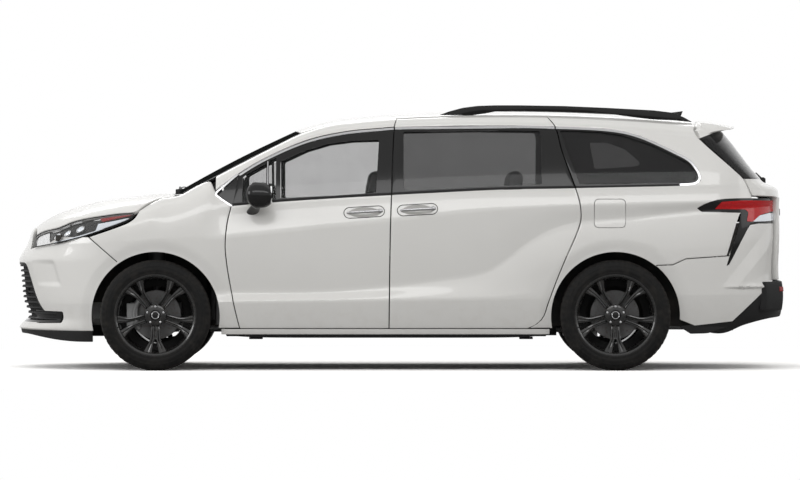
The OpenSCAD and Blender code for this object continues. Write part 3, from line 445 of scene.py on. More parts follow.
def lathe(profile, centre, steps=64, axis="y", closed=True):
    """A profile of (radius, distance along the axis) turned about an axis through the centre."""
    bm = bmesh.new()
    centre, along, out = Vector(centre), AXES[axis], AXES["x" if axis == "z" else "z"]
    points = [bm.verts.new((centre + out * r + along * d) * MM) for r, d in profile]
    edges = [bm.edges.new((points[i], points[i + 1])) for i in range(len(points) - 1)]
    if closed:
        edges.append(bm.edges.new((points[-1], points[0])))
    bmesh.ops.spin(bm, geom=points + edges, cent=centre * MM, axis=along, angle=2 * math.pi, steps=steps,
                   use_merge=True, use_duplicate=False)
    bmesh.ops.remove_doubles(bm, verts=bm.verts[:], dist=1e-5)
    bmesh.ops.recalc_face_normals(bm, faces=bm.faces[:])
    return bm


def smooth_path(points, count):
    """Evenly spaced points on a smooth curve through the given ones."""
    dims = len(points[0])
    marks = [0.0]
    for a, b in zip(points, points[1:]):
        marks.append(marks[-1] + (Vector(b) - Vector(a)).length)
    out = []
    for k in range(count):
        s = marks[-1] * k / (count - 1)
        out.append(Vector([curve([(m, p[d]) for m, p in zip(marks, points)], s) for d in range(dims)]))
    return out


def pipe(points, radius, sides=10, squash=1.0, up=(0, 0, 1)):
    """A tube along a path, in millimetres; the radius may be a function of the share of the path."""
    bm = bmesh.new()
    count = len(points)
    points = [Vector(p) for p in points]
    bmesh.ops.create_grid(bm, x_segments=count - 1, y_segments=sides, size=0.5)
    for v in bm.verts:
        i = round((v.co.x + 0.5) * (count - 1))
        a = 2 * math.pi * (v.co.y + 0.5)
        t = (points[min(i + 1, count - 1)] - points[max(i - 1, 0)]).normalized()
        side = t.cross(Vector(up)).normalized()
        top = side.cross(t)
        r = radius(i / (count - 1)) if callable(radius) else radius
        v.co = (points[i] + side * math.cos(a) * r + top * math.sin(a) * r * squash) * MM
    bmesh.ops.remove_doubles(bm, verts=bm.verts[:], dist=1e-5)
    return closed_up(bm)


def ribbon(path, width, surface, lift=1.5, depth=6, rounding=1.2, across=2, shift=0.0):
    """A strip along a side-view path of (x, z), lying on a surface y(x, z)."""
    count = len(path)

    def spot(u, v, down):
        i = min(count - 2, int(u * (count - 1)))
        f = u * (count - 1) - i
        p = path[i].lerp(path[i + 1], f)
        t = (path[min(i + 2, count - 1)] - path[max(i - 1, 0)]).normalized()
        q = p + Vector((-t.y, t.x)) * (v * width + shift)
        return q.x, surface(q.x, q.y) - down, q.y
    return shell(count - 1, across, spot, -lift, depth, rounding, 1)


def ball(centre, size, segments=24):
    bm = bmesh.new()
    bmesh.ops.create_uvsphere(bm, u_segments=segments, v_segments=segments // 2, radius=1)
    bmesh.ops.scale(bm, vec=Vector(size) * MM, verts=bm.verts[:])
    bmesh.ops.translate(bm, vec=Vector(centre) * MM, verts=bm.verts[:])
    return bm


def flip(bm):
    """Turn a mesh into its mirror image across the van."""
    bmesh.ops.scale(bm, vec=(1, -1, 1), verts=bm.verts[:])
    bmesh.ops.reverse_faces(bm, faces=bm.faces[:])
    return bm


def mirrored(bm):
    """A copy for the other side of the van, which leaves the first as it is."""
    return flip(bm.copy())


def turned(bm, angle, axis):
    """Turn a mesh about an axis through the origin."""
    bmesh.ops.rotate(bm, cent=(0, 0, 0), matrix=Matrix.Rotation(angle, 3, axis), verts=bm.verts[:])
    return bm


def moved(bm, by):
    bmesh.ops.translate(bm, vec=Vector(by) * MM, verts=bm.verts[:])
    return bm


class Piece:
    """One finished object, joined from meshes with a finish each."""

    def __init__(self, name):
        self.name, self.bm, self.finishes = name, bmesh.new(), []

    def add(self, bm, finish, both=False):
        if finish not in self.finishes:
            self.finishes.append(finish)
        index = self.finishes.index(finish)
        for part in ([bm, mirrored(bm)] if both else [bm]):
            for f in part.faces:
                f.material_index = index
            mesh = bpy.data.meshes.new("part")
            part.to_mesh(mesh)
            self.bm.from_mesh(mesh)
            bpy.data.meshes.remove(mesh)
            part.free()
        return self

    def done(self, body, slot, *nodes, angle=30):
        mesh = bpy.data.meshes.new(self.name)
        self.bm.to_mesh(mesh)
        self.bm.free()
        mesh.shade_smooth()
        mesh.set_sharp_from_angle(angle=math.radians(angle))
        for finish in self.finishes:
            mesh.materials.append(material(finish))
        thing = bpy.data.objects.new(self.name, mesh)
        bpy.context.scene.collection.objects.link(thing)
        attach(thing, body)
        if nodes:
            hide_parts(*nodes)
        return thing


# ---- Materials ----

class Value:
    """An output of a shader node that takes part in sums like a number."""

    def __init__(self, shading, socket):
        self.shading, self.socket = shading, socket

    def _sum(self, operation, a, b):
        return self.shading.add("ShaderNodeMath", {"operation": operation}, {0: a, 1: b})

    def __add__(self, other):
        return self._sum("ADD", self, other)

    __radd__ = __add__

    def __sub__(self, other):
        return self._sum("SUBTRACT", self, other)

    def __rsub__(self, other):
        return self._sum("SUBTRACT", other, self)

    def __mul__(self, other):
        return self._sum("MULTIPLY", self, other)

    __rmul__ = __mul__

    def __truediv__(self, other):
        return self._sum("DIVIDE", self, other)

    def __pow__(self, other):
        return self._sum("POWER", self, other)

    def over(self, other):
        return self._sum("GREATER_THAN", self, other)

    def ramp(self, low, high):
        """0 below low, 1 above high."""
        return self.shading.add("ShaderNodeMapRange", {"interpolation_type": "SMOOTHSTEP"},
                                {"Value": self, "From Min": low, "From Max": high})


class Shading:
    """The node tree of one material."""

    def __init__(self, name):
        self.material = bpy.data.materials.new(name)
        self.material.use_nodes = True
        self.tree = self.material.node_tree
        self.tree.nodes.clear()
        self.place = self.add("ShaderNodeTexCoord", out="Object")

    def add(self, kind, settings=None, inputs=None, out=0):
        node = self.tree.nodes.new(kind)
        for key, value in (settings or {}).items():
            setattr(node, key, value)
        for key, value in (inputs or {}).items():
            if isinstance(value, Value):
                self.tree.links.new(value.socket, node.inputs[key])
            else:
                node.inputs[key].default_value = value
        return Value(self, node.outputs[out])

    def noise(self, scale, detail=3.0, roughness=0.55, at=None):
        return self.add("ShaderNodeTexNoise", {}, {"Vector": at or self.place, "Scale": scale,
                                                   "Detail": detail, "Roughness": roughness})

    def cells(self, scale, feature="F1"):
        return self.add("ShaderNodeTexVoronoi", {"feature": feature}, {"Vector": self.place, "Scale": scale})

    def mix(self, share, a, b):
        node = self.tree.nodes.new("ShaderNodeMix")
        node.data_type = "RGBA"
        for index, value in ((0, share), (6, a), (7, b)):
            if isinstance(value, Value):
                self.tree.links.new(value.socket, node.inputs[index])
            else:
                node.inputs[index].default_value = value
        return Value(self, node.outputs[2])

    def split(self, axis):
        return self.add("ShaderNodeSeparateXYZ", {}, {0: self.place}, out=axis)

    def stretched(self, scale):
        return self.add("ShaderNodeMapping", {}, {"Vector": self.place, "Scale": scale})

    def bump(self, height, strength, distance=0.001):
        return self.add("ShaderNodeBump", {}, {"Height": height, "Strength": strength, "Distance": distance})

    def surface(self, **sockets):
        names = {key.replace("_", " "): value for key, value in sockets.items()}
        shader = self.add("ShaderNodeBsdfPrincipled", {}, names)
        self.add_output(shader)
        return self.material

    def add_output(self, shader):
        node = self.tree.nodes.new("ShaderNodeOutputMaterial")
        self.tree.links.new(shader.socket, node.inputs["Surface"])


def grey(value, tint=(1, 1, 1)):
    return (value * tint[0], value * tint[1], value * tint[2], 1)


def sizes():
    return bpy.context.scene.van_looks


def body_paint():
    s = Shading("pearl_white_paint")
    flake = s.cells(1800)
    cloud = s.noise(2.2, 2)
    dust = (1 - s.split("Z").ramp(0.22, 0.62)) * s.noise(14, 5).ramp(0.42, 0.75)
    tone = s.mix(cloud * 0.35, tuple(sizes().paint) + (1,), grey(0.70, (1.0, 0.99, 0.965)))
    colour = s.mix(dust * 0.12, tone, (0.46, 0.42, 0.36, 1))
    return s.surface(Base_Color=colour, Roughness=0.30 + 0.06 * s.noise(60, 4) + dust * 0.2, Metallic=0.0,
                     Specular_IOR_Level=0.3, Coat_Weight=0.6, Coat_Roughness=0.045, Coat_IOR=1.5,
                     Normal=s.bump(flake, 0.02, 0.0004))


def gloss_black():
    s = Shading("gloss_black_trim")
    wear = s.noise(220, 6).ramp(0.62, 0.8)
    colour = s.mix(wear * 0.4, grey(0.010), grey(0.03))
    return s.surface(Base_Color=colour, Roughness=0.16 + 0.12 * wear, Specular_IOR_Level=0.15,
                     Coat_Weight=0.25, Coat_Roughness=0.03, Normal=s.bump(s.noise(9, 2), 0.03, 0.002))


def moulded_black():
    s = Shading("moulded_black_plastic")
    grain = s.cells(650)
    fade = s.noise(5, 4)
    colour = s.mix(fade, grey(0.008), grey(0.020, (1, 1, 1.04)))
    return s.surface(Base_Color=colour, Roughness=0.5 + 0.18 * fade, Specular_IOR_Level=0.2,
                     Normal=s.bump(grain, 0.35, 0.0006))


def liner_black():
    s = Shading("wheel_house_liner")
    felt = s.noise(420, 5)
    colour = s.mix(felt, grey(0.006), grey(0.018))
    return s.surface(Base_Color=colour, Roughness=0.85 + 0.1 * felt, Normal=s.bump(felt, 0.6, 0.002))


def bright_trim():
    s = Shading("satin_bright_trim")
    brush = s.noise(400, 3, at=s.stretched((0.06, 1, 1)))
    colour = s.mix(brush, grey(0.36), grey(0.54, (1, 1, 1.02)))
    return s.surface(Base_Color=colour, Roughness=0.16 + 0.14 * brush, Metallic=1.0,
                     Normal=s.bump(brush, 0.05, 0.0005))


def mirror_face():
    s = Shading("mirror_face")
    smear = s.noise(30, 4)
    return s.surface(Base_Color=grey(0.85), Roughness=0.02 + 0.05 * smear.ramp(0.5, 0.8), Metallic=1.0)


def alloy_black():
    s = Shading("black_alloy")
    dust = s.noise(40, 5).ramp(0.45, 0.8)
    colour = s.mix(dust * 0.5, grey(0.012), (0.045, 0.038, 0.032, 1))
    return s.surface(Base_Color=colour, Roughness=0.22 + 0.2 * dust, Metallic=0.3, Coat_Weight=0.45,
                     Coat_Roughness=0.06, Normal=s.bump(s.noise(300, 3), 0.05, 0.0005))


def from_axle(s):
    """Distance from the nearer axle, seen from the side."""
    x, z = s.split("X"), s.split("Z")
    x = x - (FRONT_AXLE * MM + x.over(-0.1) * (REAR_AXLE - FRONT_AXLE) * MM)
    z = z - TYRE_R * MM
    return (x * x + z * z) ** 0.5


def tyre_rubber():
    s = Shading("tyre_rubber")
    dust = s.noise(18, 5).ramp(0.4, 0.8)
    rings = s.add("ShaderNodeMath", {"operation": "SINE"}, {0: from_axle(s) * 2600})
    tread = from_axle(s).ramp(0.352, 0.362)
    colour = s.mix(dust * 0.4 + tread * 0.25, grey(0.008), (0.05, 0.046, 0.042, 1))
    return s.surface(Base_Color=colour, Roughness=0.62 + 0.25 * dust, Specular_IOR_Level=0.15,
                     Normal=s.bump(rings * 0.35 + s.noise(500, 3), 0.3, 0.0006))


def brake_steel_painted_shade():
    s = Shading("turned_brake_steel")
    rings = s.add("ShaderNodeMath", {"operation": "SINE"}, {0: from_axle(s) * 5200})
    rust = s.noise(70, 5).ramp(0.5, 0.75)
    # Painted shade: the steel is given a dark grey so that the disc reads as lying in the shade inside the
    # wheel; the rust is real.
    colour = s.mix(rust * 0.5, grey(0.13), (0.10, 0.055, 0.035, 1))
    return s.surface(Base_Color=colour, Roughness=0.3 + 0.3 * rust, Metallic=0.9,
                     Normal=s.bump(rings, 0.25, 0.0004))


def cast_metal(name="cast_alloy", tone=0.36, shine=0.85):
    s = Shading(name)
    grain = s.noise(260, 5)
    colour = s.mix(grain, grey(tone * 0.75), grey(tone * 1.2))
    return s.surface(Base_Color=colour, Roughness=0.42 + 0.25 * grain, Metallic=shine,
                     Normal=s.bump(grain, 0.5, 0.0012))


def underseal():
    s = Shading("underbody_seal")
    grain = s.noise(90, 6)
    dirt = s.noise(6, 5).ramp(0.45, 0.75)
    colour = s.mix(dirt * 0.6, grey(0.022), (0.09, 0.078, 0.062, 1))
    return s.surface(Base_Color=colour, Roughness=0.8 + 0.15 * grain, Normal=s.bump(grain, 0.6, 0.003))


def tinted(name, tone, alpha, tint=(1, 1, 1), shine=0.16, edge=0.0):
    """Thin window glass: a clear dark film with a hard shine, dusty in places, and denser seen edge-on, where
    painted shade turns it to its dark colour.
    """
    s = Shading(name)
    haze = s.noise(7, 4).ramp(0.35, 0.85)
    slant = s.add("ShaderNodeLayerWeight", {}, {"Blend": 0.5}, out="Facing")
    # The edge share is painted shade: seen edge-on, the glass shows its own dark colour in place of what lies
    # behind it.
    return s.surface(Base_Color=s.mix(haze * 0.3, grey(tone, tint), grey(tone * 1.6, tint)),
                     Roughness=0.015 + 0.03 * haze, Alpha=alpha + 0.03 * haze + edge * slant, IOR=1.52,
                     Specular_IOR_Level=shine)


def clear_cover():
    s = Shading("lamp_cover")
    scuff = s.noise(160, 5).ramp(0.6, 0.85)
    return s.surface(Base_Color=grey(0.55), Roughness=0.02 + 0.1 * scuff, Alpha=0.05 + 0.1 * scuff, IOR=1.5,
                     Specular_IOR_Level=0.25)


def lamp_bright():
    s = Shading("lamp_reflector")
    ribs = s.cells(90)
    return s.surface(Base_Color=s.mix(ribs, grey(0.72), grey(0.93)), Roughness=0.10 + 0.12 * ribs,
                     Metallic=1.0, Normal=s.bump(ribs, 0.3, 0.002))


def lamp_lens():
    s = Shading("lamp_lens_glass")
    ripple = s.noise(120, 2)
    return s.surface(Base_Color=s.mix(ripple, (0.62, 0.68, 0.76, 1), (0.9, 0.93, 0.97, 1)),
                     Roughness=0.03 + 0.06 * ripple, Metallic=0.35, Coat_Weight=1.0, Coat_Roughness=0.02)


def red_plastic(name, colour, alpha=1.0):
    s = Shading(name)
    prism_cells = s.cells(140, "DISTANCE_TO_EDGE")
    # Painted glints: the red is full at the edges of the prism cells and darker in their middles, as light
    # caught by the prisms.
    prism_glint_colour = s.mix(prism_cells * 2.2, colour + (1,), tuple(c * 0.45 for c in colour) + (1,))
    return s.surface(Base_Color=prism_glint_colour, Roughness=0.12 + 0.05 * s.noise(50), Alpha=alpha,
                     Specular_IOR_Level=0.2, Coat_Weight=0.35, Coat_Roughness=0.03,
                     Normal=s.bump(prism_cells, 0.2, 0.001))


def seat_leather():
    s = Shading("black_seat_leather")
    grain = s.cells(420, "DISTANCE_TO_EDGE")
    pores = s.noise(900, 2)
    rub = s.noise(6, 4).ramp(0.45, 0.8)
    tone = tuple(sizes().seat) + (1,)
    colour = s.mix(rub * 0.6, tone, grey(0.075, (1, 0.97, 0.94)))
    return s.surface(Base_Color=colour, Roughness=0.42 + 0.2 * rub, Sheen_Weight=0.15, Sheen_Roughness=0.4,
                     Normal=s.bump(grain * 2 + pores * 0.3, 0.35, 0.0008))


def cabin_cloth(name, tone):
    s = Shading(name)
    weave = s.add("ShaderNodeTexWave", {"bands_direction": "DIAGONAL"},
                  {"Vector": s.place, "Scale": 320.0, "Distortion": 2.0, "Detail": 2.0})
    fuzz = s.noise(350, 5)
    colour = s.mix(fuzz * 0.6 + weave * 0.3, grey(tone * 0.7), grey(tone * 1.25))
    return s.surface(Base_Color=colour, Roughness=0.88 + 0.1 * fuzz, Sheen_Weight=0.3, Sheen_Roughness=0.5,
                     Normal=s.bump(weave + fuzz, 0.4, 0.001))


def soft_trim():
    s = Shading("cabin_soft_trim")
    grain = s.cells(380)
    fade = s.noise(4, 3)
    colour = s.mix(fade, grey(0.022), grey(0.045, (1, 0.99, 0.97)))
    return s.surface(Base_Color=colour, Roughness=0.55 + 0.15 * fade, Normal=s.bump(grain, 0.4, 0.0008))


def dark_screen():
    s = Shading("dark_screen")
    smear = s.noise(45, 4).ramp(0.5, 0.8)
    return s.surface(Base_Color=s.mix(smear * 0.3, grey(0.006), grey(0.02)), Roughness=0.05 + 0.2 * smear,
                     Coat_Weight=1.0, Coat_Roughness=0.02)


def blank_plate():
    s = Shading("blank_plate")
    dirt = s.noise(25, 5).ramp(0.5, 0.8)
    return s.surface(Base_Color=s.mix(dirt * 0.25, grey(0.72), (0.5, 0.47, 0.42, 1)),
                     Roughness=0.35 + 0.2 * dirt, Normal=s.bump(s.noise(200, 3), 0.08, 0.0006))


RECIPES = {
    "paint": body_paint, "gloss": gloss_black, "plastic": moulded_black, "liner": liner_black,
    "bright": bright_trim, "mirror": mirror_face, "alloy": alloy_black, "tyre": tyre_rubber,
    "brake": brake_steel_painted_shade, "cast": cast_metal, "underseal": underseal,
    "dark_metal": lambda: cast_metal("dark_pressed_steel", 0.10, 0.6),
    "exhaust": lambda: cast_metal("exhaust_steel", 0.42, 1.0),
    "clear_glass": lambda: tinted("door_glass", 0.055, sizes().front_tint, (0.95, 1, 0.98)),
    "privacy_glass": lambda: tinted("privacy_glass", 0.028, sizes().rear_tint, (1, 1, 1.02)),
    "door_rear_glass": lambda: tinted("sliding_door_glass", 0.04, sizes().door_tint, (1, 1, 1.02)),
    "screen_glass": lambda: tinted("windscreen_glass", 0.012, 0.5, (0.93, 1, 0.98), 0.0, 0.5),
    "cover": clear_cover, "lamp_bright": lamp_bright, "lens": lamp_lens,
    "red": lambda: red_plastic("red_lamp_plastic", (0.62, 0.008, 0.012)),
    "side_red": lambda: red_plastic("side_marker_plastic", (0.32, 0.012, 0.014)),
    "leather": seat_leather, "carpet": lambda: cabin_cloth("floor_carpet", 0.03),
    "headlining": lambda: cabin_cloth("roof_lining", 0.33), "trim": soft_trim, "screen": dark_screen,
    "plate": blank_plate,
}
made_materials = {}


def material(finish):
    if finish not in made_materials:
        made_materials[finish] = RECIPES[finish]()
    return made_materials[finish]


# ---- Sides of the body ----

def level_place(left, right, levels, rows):
    """A map from (u, v) to (x, z) whose rows follow the given lines of the body."""
    starts = [sum(rows[:k]) / sum(rows) for k in range(len(rows) + 1)]

    def at(u, v):
        k = 0
        while k < len(rows) - 1 and v > starts[k + 1] + 1e-6:
            k += 1
        f = (v - starts[k]) / (starts[k + 1] - starts[k])
        x = lerp(left(700), right(700), u)
        for _ in range(5):
            z = lerp(levels[k](x), levels[k + 1](x), f)
            x = lerp(left(z), right(z), u)
        return x, z
    return at


def side_slab(left, right, levels, rows, columns, surface, depth, tucks=(0, 0), rounding=2.5):
    """A panel of the side with its shut edges, from outer surface to depth."""
    at = level_place(left, right, levels, rows)

    def outer(u, v):
        x, z = at(u, v)
        return x, surface(x, z), z

    def inner(u, v):
        x, z = at(u, v)
        x = x + lerp(tucks[0], -tucks[1], u)
        return x, surface(x, z) - (depth(z) if callable(depth) else depth), z
    return slab(columns, sum(rows), outer, inner, rounding)


def line(points, add=0.0):
    return lambda t: curve(points, t) + add


DOOR_FOOT, DOOR_DEPTH, FRAME_SINK = 281, 82, 2.5


def window_level(x, z):
    """The face of the black frames, a little behind the bright strips."""
    return frame_y(x, z) - FRAME_SINK


def door_levels(top, top_row):
    return ([lambda x: DOOR_FOOT, crease_z, line(hollow_line), line(shoulder_line), line(belt_line), top],
            [10, 10, 18, 10, top_row])


def handle_cup(x, z, length):
    """A rounded hollow in the door behind its handle."""
    y = body_y(x, z)
    return ball((x, y + 16, z), (length * 0.42, 42, 40), 32)


def arch_tool(axle):
    bm = bmesh.new()
    radius = ARCH_R * MM
    bmesh.ops.create_cone(bm, cap_ends=True, segments=144, radius1=radius, radius2=radius, depth=0.6)
    return moved(turned(bm, math.pi / 2, "X"), (axle, 860, ARCH_Z))


def arch_lip(axle, surface, first, last, steps=60):
    """The rolled edge of a wheel arch, from one angle to another."""
    path = [Vector((axle + ARCH_R * math.cos(a), ARCH_Z + ARCH_R * math.sin(a)))
            for a in [math.radians(lerp(first, last, k / steps)) for k in range(steps + 1)]]
    return ribbon(path, 13, surface, 1.2, 26, 1.0, 2, -11)


def door_handle(piece, x, z, length):
    """Cup bezel, grip and key cover of a door handle."""
    tilt = math.atan2(curve(belt_line, x + 60) - curve(belt_line, x - 60), 120)

    def spot(dx, dz):
        return x + dx * math.cos(tilt) - dz * math.sin(tilt), z + dx * math.sin(tilt) + dz * math.cos(tilt)
    count = 48
    ring = []
    for k in range(count + 1):
        a = 2 * math.pi * k / count
        px, pz = spot((length / 2 - 40) * (1 if math.cos(a) > 0 else -1) + 40 * math.cos(a), 36 * math.sin(a))
        ring.append((px, body_y(px, pz) + 0.8, pz))
    piece.add(pipe(ring, 2.4, 8, 1.0, (0, 1, 0)), "gloss")
    grip = []
    for k in range(17):
        t = k / 16
        px, pz = spot(lerp(-length / 2 + 22, length / 2 - 22, t), 2)
        grip.append((px, body_y(px, pz) + 4 + 17 * math.sin(math.pi * t) ** 0.5, pz))
    piece.add(pipe(grip, lambda t: 13.5 * (0.55 + 0.45 * math.sin(math.pi * t) ** 0.4), 16, 0.8), "bright")
    px, pz = spot(length / 2 - 30, 2)
    piece.add(ball((px, body_y(px, pz) + 3, pz), (20, 12, 15), 20), "bright")


def along(points, first, last, steps):
    """Steps along a line of the body, between two x."""
    return [Vector((x, curve(points, x))) for x in [lerp(first, last, k / steps) for k in range(steps + 1)]]


def top_strip(first, last):
    """The bright strip along the top of the windows, between two x."""
    return ribbon(along(drip_line, first, last, 59), 15, frame_y, 1.5, 14, 1.5, 2, -17)


def belt_strip(first, last, steps, width=17, lift=2.5):
    """The black strip at the foot of the windows, between two x."""
    return ribbon(along(belt_line, first, last, steps), width, frame_y, lift, 10, 2)


def door_lining(left, right, front, rear, top):
    """The inner panel of a door, front and rear being how far it stands in from the shut edges."""
    return side_slab(lambda z: left(z) + front, lambda z: right(z) - rear,
                     [lambda x: 300, lambda x: 700, lambda x: top], [10, 10], 24,
                     lambda x, z: body_y(x, z) - DOOR_DEPTH, 9, (0, 0), 4)


def side_patch(span, surface, top, foot, outline, columns=24, rows=16):
    """The part of a side surface y(x, z) inside an outline, from one depth behind it to another."""
    def at(x, z, depth):
        return x, surface(x, z) - depth, z
    return kept_in(shell(columns, rows, at, top, foot, 0, span=span), through(outline))


def pane(x0, x1, z0, z1, set_in, outline):
    """Curved side glass behind a frame."""
    return side_patch((x0, x1, z0, z1), frame_y, set_in, set_in + 4.5, outline)


front_hole = [(-797, 1146), (-797, 1388), (-635, 1463), (-478, 1509), (-322, 1529), (-140, 1534),
              (-160, 1182), (-454, 1162)]
vent_hole = [(-874, 1136), (-874, 1394), (-826, 1418), (-826, 1139)]
corner_hole = [(-1052, 1120), (-1046, 1290), (-890, 1378), (-890, 1134)]
slide_hole = [(24, 1196), (24, 1590), (500, 1600), (930, 1594), (942, 1560), (942, 1236), (593, 1224)]
quarter_hole = [(1064, 1598), (1330, 1588), (1478, 1566), (1680, 1500), (1912, 1386), (1976, 1318),
                (1968, 1268), (1925, 1250), (1196, 1236)]
quarter_clear = [(1256, 1516), (1292, 1341), (1563, 1357), (1596, 1368), (1590, 1392), (1493, 1475),
                 (1377, 1516)]
front_pane = [(-1062, 1118), (-1048, 1285), (-896, 1376), (-624, 1515), (-372, 1566), (-122, 1590),
              (-125, 1172), (-454, 1154), (-827, 1129)]
slide_pane = [(12, 1184), (12, 1606), (762, 1614), (1004, 1606), (1026, 1562), (1118, 1232), (593, 1212)]
quarter_pane = [(1052, 1606), (1330, 1596), (1482, 1574), (1684, 1508), (1920, 1392), (1986, 1320),
                (1976, 1260), (1931, 1242), (1192, 1226)]


def build_front_door(name):
    """Skin, frame, handle and lining of the +Y front door."""
    left = line(front_edge_line, SKIN_GAP)
    right = line(middle_edge_line, -SKIN_GAP)
    piece = Piece(name)
    levels, rows = door_levels(line(drip_line, -4), 2)
    skin = side_slab(left, right, levels[:5], rows[:4], 64, body_y, DOOR_DEPTH, (20, 40))
    x, z, length = -238, 1054, 270
    piece.add(carved(skin, handle_cup(x, z, length)), "paint")
    door_handle(piece, x, z, length)
    frame_part = side_slab(left, right, [line(belt_line, 1), line(drip_line, -18)], [22], 48, window_level,
                           34, (6, 10))
    holes = through(front_hole, 14), through(vent_hole, 5), through(corner_hole, 10)
    piece.add(carved(frame_part, *holes), "gloss")
    piece.add(top_strip(-1076, -42), "bright")
    piece.add(belt_strip(-1118, -60, 50), "plastic")
    # Bright post behind the mirror, and the foot of its channel
    foot_y = frame_y(-880, 1260)
    piece.add(block((-884.5, foot_y - 60, 1132), (-875.5, foot_y - 50, 1140), 1), "bright")
    post = [(-881, frame_y(-881, z) + 0.5, z) for z in [lerp(1128, 1392, k / 12) for k in range(13)]]
    piece.add(pipe(post, 4.0, 8, 1.0, (1, 0, 0)), "bright")
    # Inner lining with a rest for the arm and a grab handle
    piece.add(door_lining(left, right, 45, 70, 1085), "trim")
    rest_y = body_y(-600, 780)
    piece.add(block((-900, rest_y - 135, 700), (-300, rest_y - 88, 760), 14, 4), "leather")
    grab = [(px, body_y(px, 900) - 112, 900 + 12 * math.sin((px + 760) / 260 * math.pi))
            for px in range(-760, -499, 20)]
    piece.add(pipe(grab, 11, 12), "bright")
    return piece


def build_sliding_door(name):
    """Skin, window surround, handle and lining of the +Y sliding door."""
    left = line(middle_edge_line, SKIN_GAP)
    right = line(slide_edge_line, -SKIN_GAP)
    piece = Piece(name)
    levels, rows = door_levels(lambda x: curve(rail_top, x) - 8, 2)
    levels = levels[:5] + [line(drip_line, 1), levels[5]]
    rows = rows[:4] + [22, 7]
    skin = side_slab(left, right, levels, rows, 68, body_y,
                     lambda z: lerp(DOOR_DEPTH, 36, unit((z - 1500) / 150)), (12, 20))
    band = [(x, z - (1 if z < 1300 and x > -1200 else 0)) for x, z in window_band]
    x, z, length = 116, 1070, 268
    piece.add(carved(skin, through(band), handle_cup(x, z, length)), "paint")
    door_handle(piece, x, z, length)
    surround = side_slab(lambda z: left(z) + 0.5, lambda z: right(z) - 0.5,
                         [line(belt_line, 1), line(drip_line, -18)], [22], 50, window_level, 30)
    piece.add(carved(surround, through(slide_hole, 14)), "gloss")
    piece.add(top_strip(-34, 1032), "bright")
    piece.add(belt_strip(-54, 1160, 50), "plastic")
    piece.add(door_lining(left, right, 35, 60, 1120), "trim")
    return piece


FENDER_END = math.degrees(math.asin((MEET_Z - ARCH_Z) / ARCH_R))


def build_fender():
    piece = Piece("front_fenders")

    def front(z):
        return lerp(-1870, -2069, unit((z - MEET_Z) / (LAMP_Z - MEET_Z)))

    def top(x):
        if x < -1741:
            return curve([(-2069, 885), (-1833, 968), (-1765, 1008), (-1741, 1042)], x)
        return curve(fender_top, x) - 5

    def mark(points_at, share):
        return lambda x: min(points_at(x), lerp(284, top(x), share))
    levels = [lambda x: 284, mark(crease_z, 0.3), mark(line(shoulder_line), 0.93), top]
    skin = side_slab(front, line(front_edge_line, -SKIN_GAP), levels, [8, 20, 20], 64, fender_y, 45)
    piece.add(carved(skin, arch_tool(FRONT_AXLE)), "paint", both=True)
    piece.add(arch_lip(FRONT_AXLE, fender_y, -10.2, 180 - FENDER_END), "paint", both=True)
    # Black corner at the foot of the screen pillar
    plate = rounded([(-1113, 1099), (-1207, 1168), (-1081, 1290), (-1086, 1240)], 6)
    piece.add(side_patch((-1225, -1070, 1085, 1300), frame_y, 1, 20, plate, 16, 16), "gloss", both=True)
    rim = smooth_path([(-1116, 1093), (-1160, 1120), (-1210, 1156), (-1226, 1170), (-1218, 1188),
                       (-1180, 1220), (-1130, 1264), (-1078, 1307)], 40)
    piece.add(ribbon(rim, 14, frame_y, 2.5, 14, 1.5, 2, -7), "bright", both=True)
    return piece


def build_quarter(right_side):
    """The rear quarter of one side, modelled at +Y."""
    def right(z):
        return curve(quarter_rear, max(z, 705))

    def foot(x):
        if x < 1700:
            return 284 + max(0, x - REAR_AXLE) * 1.58
        return pieced(tail_top, x) + 6

    levels = [foot, lambda x: max(lerp(foot(x), curve(hollow_line, x), 0.5), foot(x) + 10),
              lambda x: max(foot(x) + 20, curve(hollow_line, x)), line(shoulder_line), line(belt_line),
              line(drip_line, 1), lambda x: curve(rail_top, x) - 8]
    skin = side_slab(line(slide_edge_line, SKIN_GAP), right, levels, [12, 14, 10, 10, 22, 7], 72, body_y, 40,
                     (0, 30))
    under = [(1600, 700)] + [(x, z + 6) for x, z in tail_top[1:4]] + [(2191, 766), (2191, 600), (1650, 600)]
    skin = carved(skin, arch_tool(REAR_AXLE), through(window_band), through(lamp_side(1.5), 4),
                  through(under))
    if not right_side:
        hole = rounded([(1289, 948), (1501, 948), (1501, 1142), (1289, 1142)], 36, 8)
        skin = carved(skin, prism(hole, HALF_W - 34, PLATE_OUT))
    return skin


def quarter_dressing(piece):
    """Black surround, glass strip and bright strip of the rear side window, for one side at +Y."""
    surround = side_slab(line(slide_edge_line, SKIN_GAP + 0.5), lambda z: 2012,
                         [line(belt_line, 1), line(drip_line, -14)], [24], 60, window_level, 26)
    piece.add(carved(kept_in(surround, through(window_band)), through(quarter_hole, 16)), "gloss", both=True)
    rim = smooth_path([(1860, 1228), (1931, 1231), (1972, 1241), (1996, 1263), (2002, 1290), (1983, 1336),
                       (1931, 1401), (1820, 1462), (1693, 1523), (1600, 1561), (1494, 1591), (1355, 1610),
                       (1200, 1619), (1040, 1624)], 110)
    piece.add(ribbon(rim, 16, frame_y, 2.0, 14, 1.5), "bright", both=True)
    piece.add(belt_strip(1172, 1900, 40, 13, 1.5), "plastic", both=True)


